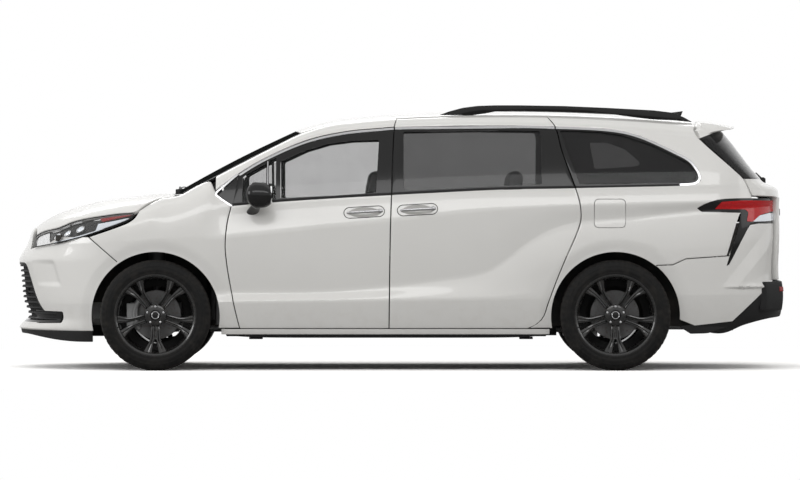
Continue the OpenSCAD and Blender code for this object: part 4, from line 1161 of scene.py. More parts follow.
class LooksSizes(bpy.types.PropertyGroup):
    """Sizes and colours of the van's looks"""
    paint: bpy.props.FloatVectorProperty(name="Paint", description="Colour of the body", subtype="COLOR",
                                         size=3, min=0, max=1, default=(0.80, 0.795, 0.775))
    seat: bpy.props.FloatVectorProperty(name="Seats", description="Colour of the seat covers",
                                        subtype="COLOR", size=3, min=0, max=1, default=(0.028, 0.027, 0.027))
    front_tint: bpy.props.FloatProperty(name="Front glass tint", description="How much the front glass hides",
                                        subtype="FACTOR", min=0, max=1, default=0.20)
    door_tint: bpy.props.FloatProperty(name="Sliding door glass tint", description="How much it hides",
                                       subtype="FACTOR", min=0, max=1, default=0.46)
    rear_tint: bpy.props.FloatProperty(name="Rear glass tint", description="How much the rear glass hides",
                                       subtype="FACTOR", min=0, max=1, default=0.58)
    tread_depth: bpy.props.FloatProperty(name="Tread depth", description="Depth of the tyre grooves",
                                         unit="LENGTH", min=0.002, max=0.012, default=0.007)
    spoke_dish: bpy.props.FloatProperty(name="Spoke dish", description="How far the spokes sink at the hub",
                                        unit="LENGTH", min=0.0, max=0.06, default=0.028)
    lamp_light: bpy.props.FloatProperty(name="Studio light", description="Strength of the studio lamps",
                                        min=0, max=5, default=1.0)


SILL_IN = 700


class VAN_OT_body_sides(bpy.types.Operator):
    """Make the fenders, quarter panels, sills, pillars and fuel door"""
    bl_idname = "van.body_sides"
    bl_label = "Body Sides"

    def execute(self, context):
        build_fender().done("body", "paint", "front_fenders")
        piece = Piece("quarter_panels")
        piece.add(build_quarter(True), "paint")
        piece.add(flip(build_quarter(False)), "paint")
        piece.add(arch_lip(REAR_AXLE, body_y, 51.5, 190.5), "paint", both=True)
        quarter_dressing(piece)
        piece.done("body", "paint", "quarter_panels")

        flap = Piece("fuel_door")
        shape = rounded([(1293, 952), (1497, 952), (1497, 1138), (1293, 1138)], 32, 8)
        flap.add(flip(side_patch((1285, 1505, 944, 1146), body_y, 0, 7, shape, 20, 20)), "paint")
        flap.done("fuel_flap", "paint", "fuel_door")

        sills = Piece("rockers")
        x0, x1 = FRONT_AXLE + ARCH_R + 8, REAR_AXLE - ARCH_R - 8

        def sill(x, z, inside):
            return x, SILL_IN if inside else side_y(x, z), z

        def sill_foot(u, v, inside):
            x = lerp(x0 + 30, x1 - 20, u)
            if inside:
                return x, SILL_IN, lerp(222, 240, v)
            return (x, side_y(lerp(x0, x1, u), 240) - 3 - 10 * (1 - v),
                    lerp(217 + 18 * abs(2 * u - 1) ** 8, 240, v))
        sills.add(shell(60, 4, sill, False, True, 3, span=(x0, x1, 240, 275)), "paint", both=True)
        sills.add(shell(60, 4, sill_foot, False, True, 3), "plastic", both=True)
        for x in (-960, 840):
            sills.add(block((x - 45, 800, 207), (x + 45, 860, 222), 3), "plastic", both=True)
        sills.add(block((-1171, 742, 274), (930, 800, 328), 6), "trim", both=True)
        sills.done("body", "paint", "rockers")

        pillars = Piece("front_pillars")

        def rail(u, v, d):
            def height(x):
                return lerp(curve(drip_line, x) + 3, curve(rail_top, x) - 2, math.sin(math.pi / 2 * v))
            x = lerp(-1226, curve(middle_edge_line, height(lerp(-1226, -38, u))) - SKIN_GAP, u)
            z = height(x)
            return x, rail_y_at(x, z) - d, z - d * v
        pillars.add(shell(72, 12, rail, 0, 34, 2), "paint", both=True)
        pillars.add(block((-1225, 700, 300), (-1172, 858, 1060), 6), "dark_metal", both=True)
        pillars.done("body", "paint", "front_pillars")
        return {"FINISHED"}


class VAN_OT_doors(bpy.types.Operator):
    """Make the front doors and sliding doors"""
    bl_idname = "van.doors"
    bl_label = "Doors"

    def execute(self, context):
        for side in ("left", "right"):
            for build, kind, body in ((build_front_door, "front_door", "door_" + side),
                                      (build_sliding_door, "sliding_door", "body")):
                piece = build(f"{kind}_{side}")
                if side == "left":
                    flip(piece.bm)
                piece.done(body, "paint", f"{kind}_{side}")
        return {"FINISHED"}


class VAN_OT_side_glass(bpy.types.Operator):
    """Make the glass of the doors and the rear quarters"""
    bl_idname = "van.side_glass"
    bl_label = "Side Glass"

    def execute(self, context):
        for side in ("left", "right"):
            glass = pane(-1080, -110, 1100, 1600, 15, front_pane)
            piece = Piece("front_window_" + side)
            piece.add(flip(glass) if side == "left" else glass, "clear_glass")
            piece.done("door_" + side, "glass", "front_window_" + side)
        piece = Piece("sliding_door_windows")
        piece.add(pane(0, 1130, 1170, 1620, 15, slide_pane), "door_rear_glass", both=True)
        piece.done("body", "glass", "sliding_door_windows")
        piece = Piece("quarter_windows")
        piece.add(pane(1040, 1998, 1200, 1612, 15, quarter_pane), "privacy_glass", both=True)
        # Printed black border inside the quarter glass, leaving a clear middle
        border = pane(1045, 1990, 1205, 1610, 20.5, quarter_pane)
        clear = rounded(quarter_clear, 14)
        # The far side's opening is a little larger, so that light from behind fills the near one
        larger = [(x * 1.045 + 4, 1194 + (z - 1194) * 1.045) for x, z in clear]
        piece.add(flip(carved(border.copy(), through(clear))), "gloss")
        piece.add(carved(border, through(larger)), "gloss")
        piece.done("body", "glass", "quarter_windows")
        return {"FINISHED"}


# ---- Front, roof and rear ----

def side_of(s):
    return -1 if s < 0 else 1


def hood_at(u, v, d, lift=0.0):
    s, far = lerp(-1, 1, u), lerp(-1502, -2444, v)
    x = far - lerp(42, 18, v) * (1 - s * s)
    y = s * (curve(hood_edge, far) - 6)
    return x, y * (1 - d / 1200), hood_z(x, y) - d + lift


def hood_swell(u, v):
    """Two soft ridges that run along the hood."""
    s = abs(lerp(-1, 1, u))
    ridge = math.exp(-((s - lerp(0.62, 0.5, v)) / 0.10) ** 2)
    return 7 * ridge * ease(0.0, 0.1, v) * (1 - ease(0.86, 1.0, v))


def roof_at(u, v, d):
    s = lerp(-1, 1, v)
    x = lerp(-660 - 40 * (1 - s * s), 1960, u)
    y = s * (curve(rail_y, x) - 3)
    return x, y * (1 - d / 1500), roof_z(x, y) - d


def roof_groove(v):
    """The ditch that runs along each side of the roof, under the rails."""
    s = abs(lerp(-1, 1, v))
    return 5 * math.exp(-((s - 0.90) / 0.018) ** 2)


def screen_at(u, v, d, grow=0.0):
    s = lerp(-1, 1, u)
    side, mid = lerp(-1440, -666, v), lerp(-1528, -708, v)
    x, high = lerp(mid, side, s * s), lerp(1178, 1600, v) + 14 * math.sin(math.pi * v)
    return (x + d * 0.4, s * (curve(rail_y, side) - 6 - grow),
            lerp(high, curve(rail_top, side) - 4, s * s) - d * 0.85)


def nose_at(u, v, d):
    s = lerp(-1, 1, u)
    turn = 1 - abs(s)
    y0 = 950 * math.cos(math.pi / 2 * turn) ** (2 / NOSE_ROUND) if turn < 1 else 0
    top = pieced(bumper_top, y0)
    z = lerp(262, top, v)
    p = nose_point(turn, z, front_edge_x(z))
    push = d * math.sin(math.pi / 2 * turn)
    return (p.x + push * (1 - 0.2 * v * v), side_of(s) * max(0, p.y - d * math.cos(math.pi / 2 * turn)),
            z - (d * v * v if turn > 0.6 else 0))


def nose_scoop(u, v):
    """How far the hollow beside the grille sinks into the front bumper."""
    x, _, z = nose_at(u, v, 0)
    rear = pieced([(560, -2285), (708, -2331), (760, -2345)], z)
    across = unit((x - rear + 150) / 150) * (1 - ease(rear, rear + 26, x))
    return 18 * across * ease(556, 584, z) * (1 - ease(704, 736, z))


def grille_at(u, v, d):
    s = lerp(-1, 1, u)
    p = nose_point(1 - abs(s) * 0.8, lerp(300, 725, v), -2055)
    return p.x + d, side_of(s) * p.y, p.z


def along_points(p, t):
    k = unit(t) * (len(p) - 1)
    i = min(len(p) - 2, int(k))
    f = k - i
    out = []
    for a in range(3):
        s0 = (p[min(len(p) - 1, i + 1)][a] - p[max(0, i - 1)][a]) / (2 if i > 0 else 1)
        s1 = (p[min(len(p) - 1, i + 2)][a] - p[i][a]) / (2 if i < len(p) - 2 else 1)
        out.append(hermite(f, 0, p[i][a], s0, 1, p[i + 1][a], s1))
    return out


def lamp_at(u, v, d=0.0):
    """The headlight's face at +Y: u runs along it from the nose, v up it, d is the depth behind it."""
    a = along_points(head_low, u)
    x = curve(head_top_x, u)
    y = curve(hood_edge, x) - 2
    b = (x, y, hood_z(x, y) - 3)
    p = [lerp(a[k], b[k], v) for k in range(3)]
    out = 10 * math.sin(math.pi * v)
    return (p[0] + d * lerp(0.9, 0.2, u) * (1 - 0.85 * v) - out * (1 - u),
            p[1] - d * lerp(0.1, 0.7, u) * (1 - 0.8 * v) + out * u, p[2] - (d * 0.87 * v if d > 0 else 0))


def lamp_patch(corners, depth, thick, columns=8, rows=6):
    """A piece of the headlight between four (u, v) corners: low front, low rear, high rear, high front."""
    def spot(u, v, d):
        low = [lerp(corners[0][k], corners[1][k], u) for k in range(2)]
        high = [lerp(corners[3][k], corners[2][k], u) for k in range(2)]
        return lamp_at(lerp(low[0], high[0], v), lerp(low[1], high[1], v), d)
    return shell(columns, rows, spot, depth, depth + thick, 1.5, 1)


def lamp_room(u, v, d):
    """The room cut for a headlight, a little larger than its face."""
    if d > 0:
        return lamp_at(u, v, d)
    if 0 < v < 1:
        return lamp_at(u, v, -4)
    x, y, z = lamp_at(u, v)
    return x - 4, y + 3, z + (4 if v > 0.5 else -4)


def tail_at(u, z, d):
    turn = lerp(0, 0.66, u)
    x = lerp(1950, curve(tail_line, z) - 3, turn_in(turn, TAIL_ROUND))
    a = math.pi / 2 * turn
    return x - d * math.sin(a) * 0.8, side_y(x, z) - d * math.cos(a) * 0.8, z


def rear_at(u, v, d):
    s = lerp(-1, 1, u)
    turn = 1 - abs(s)
    x0 = lerp(1700, 2560, turn_in(turn, TAIL_ROUND))
    top = pieced(tail_top, x0) + 8 * (1 - ease(2150, 2230, x0))
    low = curve([(1850, 292), (1987, 250), (2110, 250), (2240, 299), (2430, 340), (2600, 352)], x0)
    z = lerp(low, top, v)
    p = tail_point(turn, z, rear_edge_x(z))
    a = math.pi / 2 * turn
    return p.x - d * math.sin(a), side_of(s) * p.y * (1 - d / 900), z


def rear_swell(u, v):
    """How far the corner of the rear bumper stands out above its crease, up to the stem of the lamp."""
    x, y, z = rear_at(u, v, 0)
    top = 560 + (x - 2142) * 1.22
    if x < 2130 or abs(y) < GATE_HALF:
        return 0
    return 15 * ease(546, 554, z) * unit((top - z) / 120) * ease(2130, 2170, x) * (1 - ease(2420, 2500, x))


GLASS_FLANK = [(1900, 1274), (2600, 1274), (2600, 1720), (2262, 1626), (2100, 1584), (2003, 1547),
               (1900, 1508)]
gate_rows = [600, 712, 916, 1060, 1152, 1160, 1212, 1262, 1330, 1420, 1500, 1540, 1585, 1625, 1658]


def gate_at(u, z, d):
    p = gate_point(lerp(-1, 1, u), z)
    drop = d * 0.35 * ease(1400, 1650, z) if z > 1400 else 0
    return p.x - d * (0.4 if z > 1600 else 0.95), p.y * (1 - d / 1500), p.z - drop


class VAN_OT_top(bpy.types.Operator):
    """Make the roof, its rails, the windscreen, the hood and the cowl with its wipers"""
    bl_idname = "van.top"
    bl_label = "Roof, Screen and Hood"

    def execute(self, context):
        roof = Piece("roof")

        def skin(u, v):
            x, y, z = roof_at(u, v, 0)
            return x, y, z - roof_groove(v)
        roof.add(slab(130, 90, skin, lambda u, v: roof_at(u, v, 30), 3), "paint")
        roof.add(shell(60, 40, roof_at, 30.5, 38, 2, span=(0.02, 0.99, 0.03, 0.97)), "headlining")

        def fin(u, v, side):
            half = 26 * (1 - v) ** 0.6 * math.sin(math.pi * u) ** 0.5
            return (lerp(1795, 1905, u) + 20 * v, side * half,
                    lerp(roof_z(1850, 0) - 2, 1738 - 14 * (1 - u), v))
        roof.add(shell(20, 10, fin, 1, -1, 0), "gloss")
        roof.done("body", "paint", "roof")

        rails = Piece("roof_rails")
        outline = [(262, 1703), (330, 1728), (420, 1752), (520, 1765), (640, 1769), (800, 1769),
                   (1100, 1764), (1400, 1751), (1700, 1735), (1830, 1719), (1905, 1688), (1962, 1655),
                   (1850, 1668), (1700, 1673), (1560, 1690), (1400, 1712), (1100, 1724), (800, 1730),
                   (640, 1727), (560, 1712), (480, 1702)]
        bar = prism(rounded(outline, 10, 3), 566, 602)
        rails.add(soft_edges(bar, sharp_edges(bar), 6, 3), "gloss", both=True)
        rails.done("body", "black_plastic", "roof_rails")

        screen = Piece("windshield")
        screen.add(shell(60, 44, screen_at, 0, 5, 0), "screen_glass")
        # Printed border, side mouldings and the housing behind the mirror
        for span in ((0.0, 0.035, 0.0, 1.0), (0.965, 1.0, 0.0, 1.0), (0.035, 0.965, 0.0, 0.09),
                     (0.035, 0.965, 0.955, 1.0)):
            screen.add(shell(30, 20, screen_at, 5.3, 7, 0, span=span), "gloss")
        for span in ((0.0, 0.032, 0, 1), (0.968, 1.0, 0, 1)):
            screen.add(shell(6, 60, screen_at, -2.5, -0.3, 0.8, 1, span), "plastic")
        screen.add(slab(10, 10, lambda u, v: screen_at(lerp(0.44, 0.56, u), lerp(0.80, 0.96, v), 5.5),
                        lambda u, v: screen_at(lerp(0.45, 0.55, u), lerp(0.81, 0.96, v), 42), 2), "trim")
        screen.done("body", "glass", "windshield")

        hood = Piece("hood")
        hood.add(slab(96, 72, lambda u, v: hood_at(u, v, 0, hood_swell(u, v) - 1.0),
                      lambda u, v: hood_at(u, v, 24), 3), "paint")
        hood.add(slab(40, 30, lambda u, v: hood_at(lerp(0.06, 0.94, u), lerp(0.06, 0.94, v), 24.5),
                      lambda u, v: hood_at(lerp(0.07, 0.93, u), lerp(0.07, 0.93, v), 26), 0), "liner")
        hood.done("hood_body", "paint", "hood")

        cowl = Piece("cowl")
        tray = [(-1570, -680), (-1440, -720), (-1262, -690), (-1262, 690), (-1440, 720), (-1570, 680)]
        cowl.add(carved(prism(tray, 1080, 1112, "z"), shell(20, 20, screen_at, -2, 9, 0)), "plastic")
        for k in range(40):
            y = lerp(-620, 620, k / 39)
            cowl.add(block((-1560, y - 4, 1111), (-1478, y + 4, 1116), 1, 1), "plastic")
        cowl.add(block((-1262, -690, 330), (-1234, 690, 1112), 4), "trim")
        # Wipers: pivot, arm and blade for each side
        half = curve(rail_y, -1440) - 6

        def on_glass(s, v, d):
            return Vector(screen_at((s + 1) / 2, v, d))
        for y, reach in ((-560, 560), (150, 520)):
            s0 = y / half
            start = on_glass(s0, 0.015, -14)
            pivot = [(0.1, -22), (15, -22), (15, 4), (11, 10), (0.1, 10)]
            cowl.add(lathe(pivot, start, 20, "z", False), "plastic")
            end_s = s0 + reach / half * 0.62
            tip = on_glass(end_s, 0.05, -20)
            arm = [start.lerp(tip, k / 10) + AXES["z"] * 12 * math.sin(math.pi * k / 10) for k in range(11)]
            cowl.add(pipe(arm, lambda t: lerp(8, 4.5, t), 8, 0.6), "plastic")
            blade = [on_glass(lerp(s0 + 0.10, end_s + 0.32, k / 16), 0.045, -9) for k in range(17)]
            cowl.add(pipe(blade, lambda t: 7 * (0.5 + 0.5 * math.sin(math.pi * t) ** 0.5), 6, 0.8), "plastic")
        cowl.done("body", "black_plastic", "cowl")
        return {"FINISHED"}


class VAN_OT_front_end(bpy.types.Operator):
    """Make the front bumper, grille, intakes and headlights"""
    bl_idname = "van.front_end"
    bl_label = "Front End"

    def execute(self, context):
        bumper = Piece("front_bumper")
        skin = slab(200, 76, lambda u, v: nose_at(u, v, nose_scoop(u, v)), lambda u, v: nose_at(u, v, 34))
        opening = prism(rounded(grille_outline, [60, 60, 20, 26, 26, 26, 26, 20], 6), -2700, -2150, "x")
        mouth = rounded([(-2452, 306), (-2452, 392), (-2252, 389), (-2246, 345), (-2262, 312)], 12)
        room, arch = shell(24, 8, lamp_room, 0, 56, 0), arch_tool(FRONT_AXLE)
        skin = carved(skin, opening, mirrored(room), room, mirrored(arch), arch, prism(mouth, 500, 1100),
                      prism(mouth, -1100, -500))
        bumper.add(skin, "paint")

        def beside_arch(x, z):
            return nose_point(0, z, x).y if x > -2055 else side_y(x, z)
        bumper.add(arch_lip(FRONT_AXLE, beside_arch, 180 - FENDER_END, 193), "paint", both=True)
        # Black lip under the nose, and the intakes beside the grille with two bars each
        bumper.add(shell(120, 6, lip_at, 0, 60, 3), "plastic")
        bumper.add(shell(30, 10, mouth_at, 16, 26, 0), "gloss", both=True)
        for z in (38, 62):
            bumper.add(shell(30, 2, mouth_at, 4, 16, 2, 1, (0, 1, z / 95, (z + 7) / 95)), "gloss", both=True)
        bumper.done("body", "paint", "front_bumper")

        grille = Piece("grille")
        grille.add(shell(80, 24, grille_at, 26, 32, 0), "liner")
        inside = [(y * 0.985, lerp(512, z, 0.98)) for y, z in grille_outline]
        for k in range(11):
            low, high = (34 + k * 35) / 425, (47 + k * 35) / 425
            bar = slab(90, 2, lambda u, v: grille_at(u, lerp(low, high, v), 4 + 5 * v),
                       lambda u, v: grille_at(u, lerp(low, high, v), 24), 2.5, 2)
            grille.add(kept_in(bar, prism(inside, -2700, -2100, "x")), "plastic")
        ring = kept_in(shell(120, 40, grille_at, 2, 24, 0), prism(grille_outline, -2700, -2100, "x"))
        inner = [(y * (0.965 if abs(y) < 600 or z < 330 else 0.93),
                  z + (-16 if z > 500 else 14 if z < 350 else 2)) for y, z in grille_outline]
        grille.add(carved(ring, prism(inner, -2700, -2100, "x")), "gloss")
        grille.done("body", "black_plastic", "grille")

        lamps = Piece("headlights")
        # Housing behind the cover, darker than its fittings
        lamps.add(shell(48, 14, lamp_at, 30, 48, 0), "gloss", both=True)
        # Rim round the cover
        edge = [lamp_at(u, 0.03, 3) for u in [k / 40 for k in range(41)]]
        edge += [lamp_at(1 - 0.004, v, 3) for v in (0.3, 0.6, 0.9)]
        edge += [lamp_at(u, 0.97, 3) for u in [1 - k / 40 for k in range(41)]]
        lamps.add(pipe(edge, 4.0, 6), "gloss", both=True)
        # Bright front reflector, three lenses with bright brows, a clear wedge and the side marker
        lamps.add(lamp_patch([(0.02, 0.1), (0.16, 0.08), (0.20, 0.92), (0.04, 0.9)], 20, 8), "lamp_bright",
                  both=True)
        for u, size in ((0.27, 27), (0.37, 27), (0.485, 30)):
            centre = Vector(lamp_at(u, 0.5, 22))
            across = Vector(lamp_at(u, 0.5, 0)) - Vector(lamp_at(u, 0.5, 40))
            lens = ball((0, 0, 0), (size * 0.55, size, size * 0.86), 24)
            turn = across.to_track_quat("X", "Z").to_matrix()
            bmesh.ops.rotate(lens, cent=(0, 0, 0), matrix=turn, verts=lens.verts[:])
            lamps.add(moved(lens, centre), "lens", both=True)
            ring = [centre + turn @ Vector((4, math.cos(a) * size * 1.12, math.sin(a) * size * 0.96))
                    for a in [2 * math.pi * k / 32 for k in range(33)]]
            lamps.add(pipe(ring, 3.4, 8, 1.0, tuple(turn @ Vector((1, 0, 0)))), "lamp_bright", both=True)
            brow = [(u - 0.045, 0.90), (u + 0.05, 0.88), (u + 0.05, 0.96), (u - 0.045, 0.97)]
            lamps.add(lamp_patch(brow, 10, 8, 6, 2), "bright", both=True)
        for corners, depth, thick, columns, rows, finish in (
                ([(0.20, 0.05), (0.60, 0.05), (0.62, 0.13), (0.22, 0.14)], 8, 8, 20, 3, "lens"),
                ([(0.56, 0.10), (0.86, 0.10), (0.84, 0.24), (0.62, 0.50)], 7, 9, 20, 5, "lens"),
                ([(0.66, 0.58), (0.93, 0.46), (0.975, 0.72), (0.68, 0.86)], 7, 9, 16, 6, "side_red")):
            lamps.add(lamp_patch(corners, depth, thick, columns, rows), finish, both=True)
        lamps.add(shell(64, 16, lamp_at, 0, 3, 0), "cover", both=True)
        lamps.done("body", "lamp", "headlights")
        return {"FINISHED"}


def lip_at(u, v, d):
    """The black lip that runs under the front bumper, wheel arch to wheel arch."""
    s = lerp(-1, 1, u)
    turn = 1 - abs(s)
    low = lerp(188, 234, ease(0.05, 0.75, turn))
    z = lerp(low, 262, v)
    p = nose_point(turn, max(z, 262), front_edge_x(262) - 4)
    a = math.pi / 2 * turn
    out = 6 * v - 4
    x = p.x - out * math.sin(a) + d * math.sin(a)
    return x, side_of(s) * max(0, p.y + out * math.cos(a) - 2 - d * math.cos(a)), z


def mouth_at(u, v, d):
    """The side intake low in the corner of the front bumper."""
    turn, z = lerp(0.18, 0.62, u), lerp(300, 395, v)
    p = nose_point(turn, z, front_edge_x(z))
    a = math.pi / 2 * turn
    return p.x + d * math.sin(a), p.y - d * math.cos(a), z


class VAN_OT_rear_end(bpy.types.Operator):
    """Make the liftgate with its spoiler, window and plate, the rear bumper and the tail lights"""
    bl_idname = "van.rear_end"
    bl_label = "Rear End"

    def execute(self, context):
        gate = Piece("liftgate")

        def gate_skin(u, v, d):
            k = v * (len(gate_rows) - 1)
            i = min(len(gate_rows) - 2, int(k))
            return gate_at(u, lerp(gate_rows[i], gate_rows[i + 1], k - i), d)
        window = prism(GLASS_FLANK, -1100, 1100)
        recess = prism(rounded([(-300, 730), (300, 730), (270, 1000), (-270, 1000)], 30), 2545, 2700, "x")
        gate.add(carved(shell(84, 110, gate_skin, 0, 56), window, recess), "paint")
        gate.add(shell(60, 10, gate_at, -5, 10, 3, span=(0.12, 0.88, 1030, 1075)), "gloss")
        gate.add(shell(80, 16, spoiler_at, 0, 1, 4), "paint")
        gate.add(shell(40, 3, spoiler_at, -0.02, 0.05, 1, span=(0.36, 0.64, 0.93, 1.0)), "side_red")
        # Rear wiper
        hub = Vector(gate_at(0.5, 1262, -6))
        gate.add(lathe([(0.1, -6), (26, -6), (26, 18), (18, 30), (0.1, 30)], hub, 24, "x", False), "plastic")
        arm = [hub.lerp(Vector(gate_at(0.66, 1318, -26)), k / 10) + Vector((18, 0, 0)) for k in range(11)]
        gate.add(pipe(arm, lambda t: lerp(10, 5, t), 8, 0.7), "plastic")
        blade = [Vector(gate_at(lerp(0.54, 0.80, k / 14), lerp(1308, 1330, k / 14), -10)) for k in range(15)]
        gate.add(pipe(blade, 6, 6), "plastic")
        gate.add(slab(24, 16, lambda u, v: gate_at(lerp(0.08, 0.92, u), lerp(660, 1180, v), 56.5),
                      lambda u, v: gate_at(lerp(0.09, 0.91, u), lerp(665, 1175, v), 66), 0), "trim")
        gate.done("gate", "paint", "liftgate")

        window = Piece("liftgate_window")
        for depth, thick, finish in ((1.5, 4.0, "privacy_glass"), (6.0, 8.0, "gloss")):
            wrap = shell(84, 40, gate_at, depth, depth + thick, 0, span=(0, 1, 1262, 1632))
            wrap = kept_in(wrap, prism(GLASS_FLANK, -1100, 1100))
            if finish == "gloss":
                clear = [(-690, 1325), (690, 1325), (636, 1520), (590, 1545), (-590, 1545), (-636, 1520)]
                wrap = carved(wrap, prism(rounded(clear, 40), 1700, 2700, "x"))
            window.add(wrap, finish)
        window.done("gate", "glass", "liftgate_window")

        plate = Piece("plate_holder")
        plate.add(block((2546, -172, 768), (2566, 172, 932), 5), "plastic")
        plate.add(block((2564, -160, 775), (2569, 160, 925), 4), "plate")
        for y in (-89, 89):
            for z in (789.5, 910.5):
                screw = [(0.1, -4), (7, -4), (7, 1.5), (4, 3), (0.1, 3)]
                plate.add(lathe(screw, (2569, y, z), 12, "x", False), "dark_metal")
        plate.done("gate", "black_plastic", "plate_holder")

        bumper = Piece("rear_bumper")
        skin = slab(190, 84, lambda u, v: rear_at(u, v, -rear_swell(u, v)), lambda u, v: rear_at(u, v, 30))
        arch = arch_tool(REAR_AXLE)
        cutters = [mirrored(arch), arch, gate_tool()]
        wing = [(1600, 694)] + tail_top[1:4] + [(2191, 760), (2191, 1100), (1600, 1100)]
        for outline in (rounded(lamp_side(1.5), 4), wing):
            cutters += [prism(outline, 400, 1100), prism(outline, -1100, -400)]
        skin = carved(skin, *cutters)
        # White upper part ends on a slanted line; below it the cladding is black
        split = [(1800, 100), (1860, 288), (2214, 327), (2507, 600), (2700, 600), (2700, 100)]
        bumper.add(carved(skin.copy(), prism(split, -1100, 1100)), "paint")
        bumper.add(kept_in(skin, prism(split, -1100, 1100)), "plastic")
        bumper.add(shell(120, 6, skirt_at, 0, 40, 3), "plastic")
        bumper.add(shell(60, 8, rear_bar_at, 0, 40, 4), "plastic")
        for s in (-1, 1):
            span = (0.5 + s * 0.34, 0.5 + s * 0.42, 0.66, 0.82)
            bumper.add(shell(16, 4, rear_bar_at, -4, 6, 1.5, span=span), "side_red")
        bumper.done("body", "paint", "rear_bumper")

        lamps = Piece("tail_lights")
        body = kept_in(shell(70, 60, tail_at, 0, 36, 0, span=(0, 1, 680, 1165)), through(lamp_side(0), 4))
        lamps.add(carved(body, gate_tool()), "gloss", both=True)
        red = [(2094, 1074), (2140, 1122), (2286, 1131), (2560, 1130), (2560, 1074), (2463, 1050),
               (2405, 1034), (2352, 990), (2310, 992), (2321, 1052), (2300, 1072)]
        white = [(2354, 990), (2396, 1030), (2470, 1046), (2560, 1046), (2560, 1002), (2440, 992)]
        for outline, finish in ((red, "red"), (white, "lens")):
            lens = shell(70, 30, tail_at, -2.5, 8, 0, span=(0, 1, 940, 1150))
            lamps.add(kept_in(lens, through(outline, 8)), finish, both=True)
        for z in (1078, 1100):
            rib = shell(50, 2, tail_at, -3.5, 4, 1, 1, (0.16, 0.62, z, z + 7))
            lamps.add(rib, "red", both=True)
        lamps.done("body", "red_lamp", "tail_lights")
        return {"FINISHED"}


def gate_tool():
    """The room that the liftgate needs between the lamps and in the rear bumper."""
    y = GATE_HALF
    return prism([(-y, 594), (y, 594), (y, 1200), (-y, 1200)], 2200, 2700, "x")


def spoiler_at(u, v, d):
    s = lerp(-1, 1, u)
    x = lerp(2018, 2256 - 50 * s ** 4, v)
    half = lerp(lerp(640, 690, v), lerp(742, 692, v), min(1, d))
    top = lerp(1668, 1631, v) - 18 * s * s + 6 * math.sin(math.pi * v)
    return x, s * half, top - d * lerp(92, 9, v ** 0.8)


def skirt_at(u, v, d):
    """The black skirt under the rear bumper."""
    s = lerp(-1, 1, u)
    turn = 1 - abs(s)
    x0 = lerp(1880, 2560, turn_in(turn, TAIL_ROUND))
    low = pieced([(1850, 292), (1879, 287), (1935, 243), (2062, 246), (2214, 291), (2357, 327), (2519, 372),
                  (2600, 384)], x0)
    top = pieced([(1850, 292), (2214, 327), (2507, 600), (2700, 610)], x0)
    z = lerp(low, max(low + 6, min(low + 60, top)), v)
    p = tail_point(turn, max(z, 300), 1870)
    a = math.pi / 2 * turn
    return p.x - 4 - d * math.sin(a), side_of(s) * max(0, p.y - 2 - d * math.cos(a)), z


def rear_bar_at(u, v, d):
    """The black bar that stands out from the rear bumper."""
    s = lerp(-1, 1, u)
    z = lerp(395, 588, v)
    out = 2586 - 40 * abs(s) ** 3 - 500 * max(0, abs(s) - 0.8)
    return out - 10 * (2 * v - 1) ** 2 - d, s * 800, z


# ---- Mirrors and wheels ----

class VAN_OT_mirrors(bpy.types.Operator):
    """Make the two outside mirrors"""
    bl_idname = "van.mirrors"
    bl_label = "Mirrors"

    def execute(self, context):
        for side in ("left", "right"):
            low, high = [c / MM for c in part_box("mirror_" + side)]
            inner, outer_y = sorted((abs(low.y), abs(high.y)))
            piece = Piece("mirror_" + side)
            x0, x1, z0, z1 = low.x, high.x, low.z + 28, high.z

            def housing(u, v):
                """The rounded housing: u goes round it in plan, v from its foot to its top."""
                a = 2 * math.pi * u
                lift = math.sin(math.pi * lerp(0.04, 0.96, v)) ** 0.45
                fore = math.copysign(abs(math.cos(a)) ** 0.7, math.cos(a)) * lift
                out = math.copysign(abs(math.sin(a)) ** 0.6, math.sin(a)) * lift
                px = (x0 + x1) / 2 + 16 + (x1 - x0) * 0.61 * fore
                py = (inner + 70 + outer_y) / 2 + (outer_y - inner - 70) * 0.5 * out
                return px - 10 * v, py, lerp(z0 - 6, z1 + 4, v) + 10 * math.cos(a) * (0.5 - v)
            bm = sheet(56, 28, housing)
            bmesh.ops.remove_doubles(bm, verts=bm.verts[:], dist=1e-4)
            face = x1 + 18
            pocket = block((face - 8, inner + 88, z0 + 16), (face + 60, outer_y - 18, z1 - 16), 18, 4)
            piece.add(carved(closed_up(bm), pocket), "gloss")
            piece.add(block((face - 14, inner + 92, z0 + 20), (face - 6, outer_y - 22, z1 - 20), 3), "mirror")
            foot = [Vector((lerp(-985, -948, k / 8), lerp(inner - 22, inner + 118, k / 8),
                            lerp(z0 - 46, z0 + 14, (k / 8) ** 0.8))) for k in range(9)]
            piece.add(pipe(foot, lambda t: lerp(44, 30, t), 24, 0.6), "gloss")
            base = rounded([(-985, 1105), (-962, 1166), (-905, 1182), (-868, 1120)], 12)
            piece.add(side_patch((-990, -860, 1100, 1185), frame_y, -7, 10, base, 12, 12), "gloss")
            if side == "left":
                flip(piece.bm)
            piece.done("door_" + side, "black_plastic", "mirror_" + side, angle=38)
        return {"FINISHED"}


WHEELS = ("front_left", "front_right", "rear_left", "rear_right")
NUT_RING = 57.15


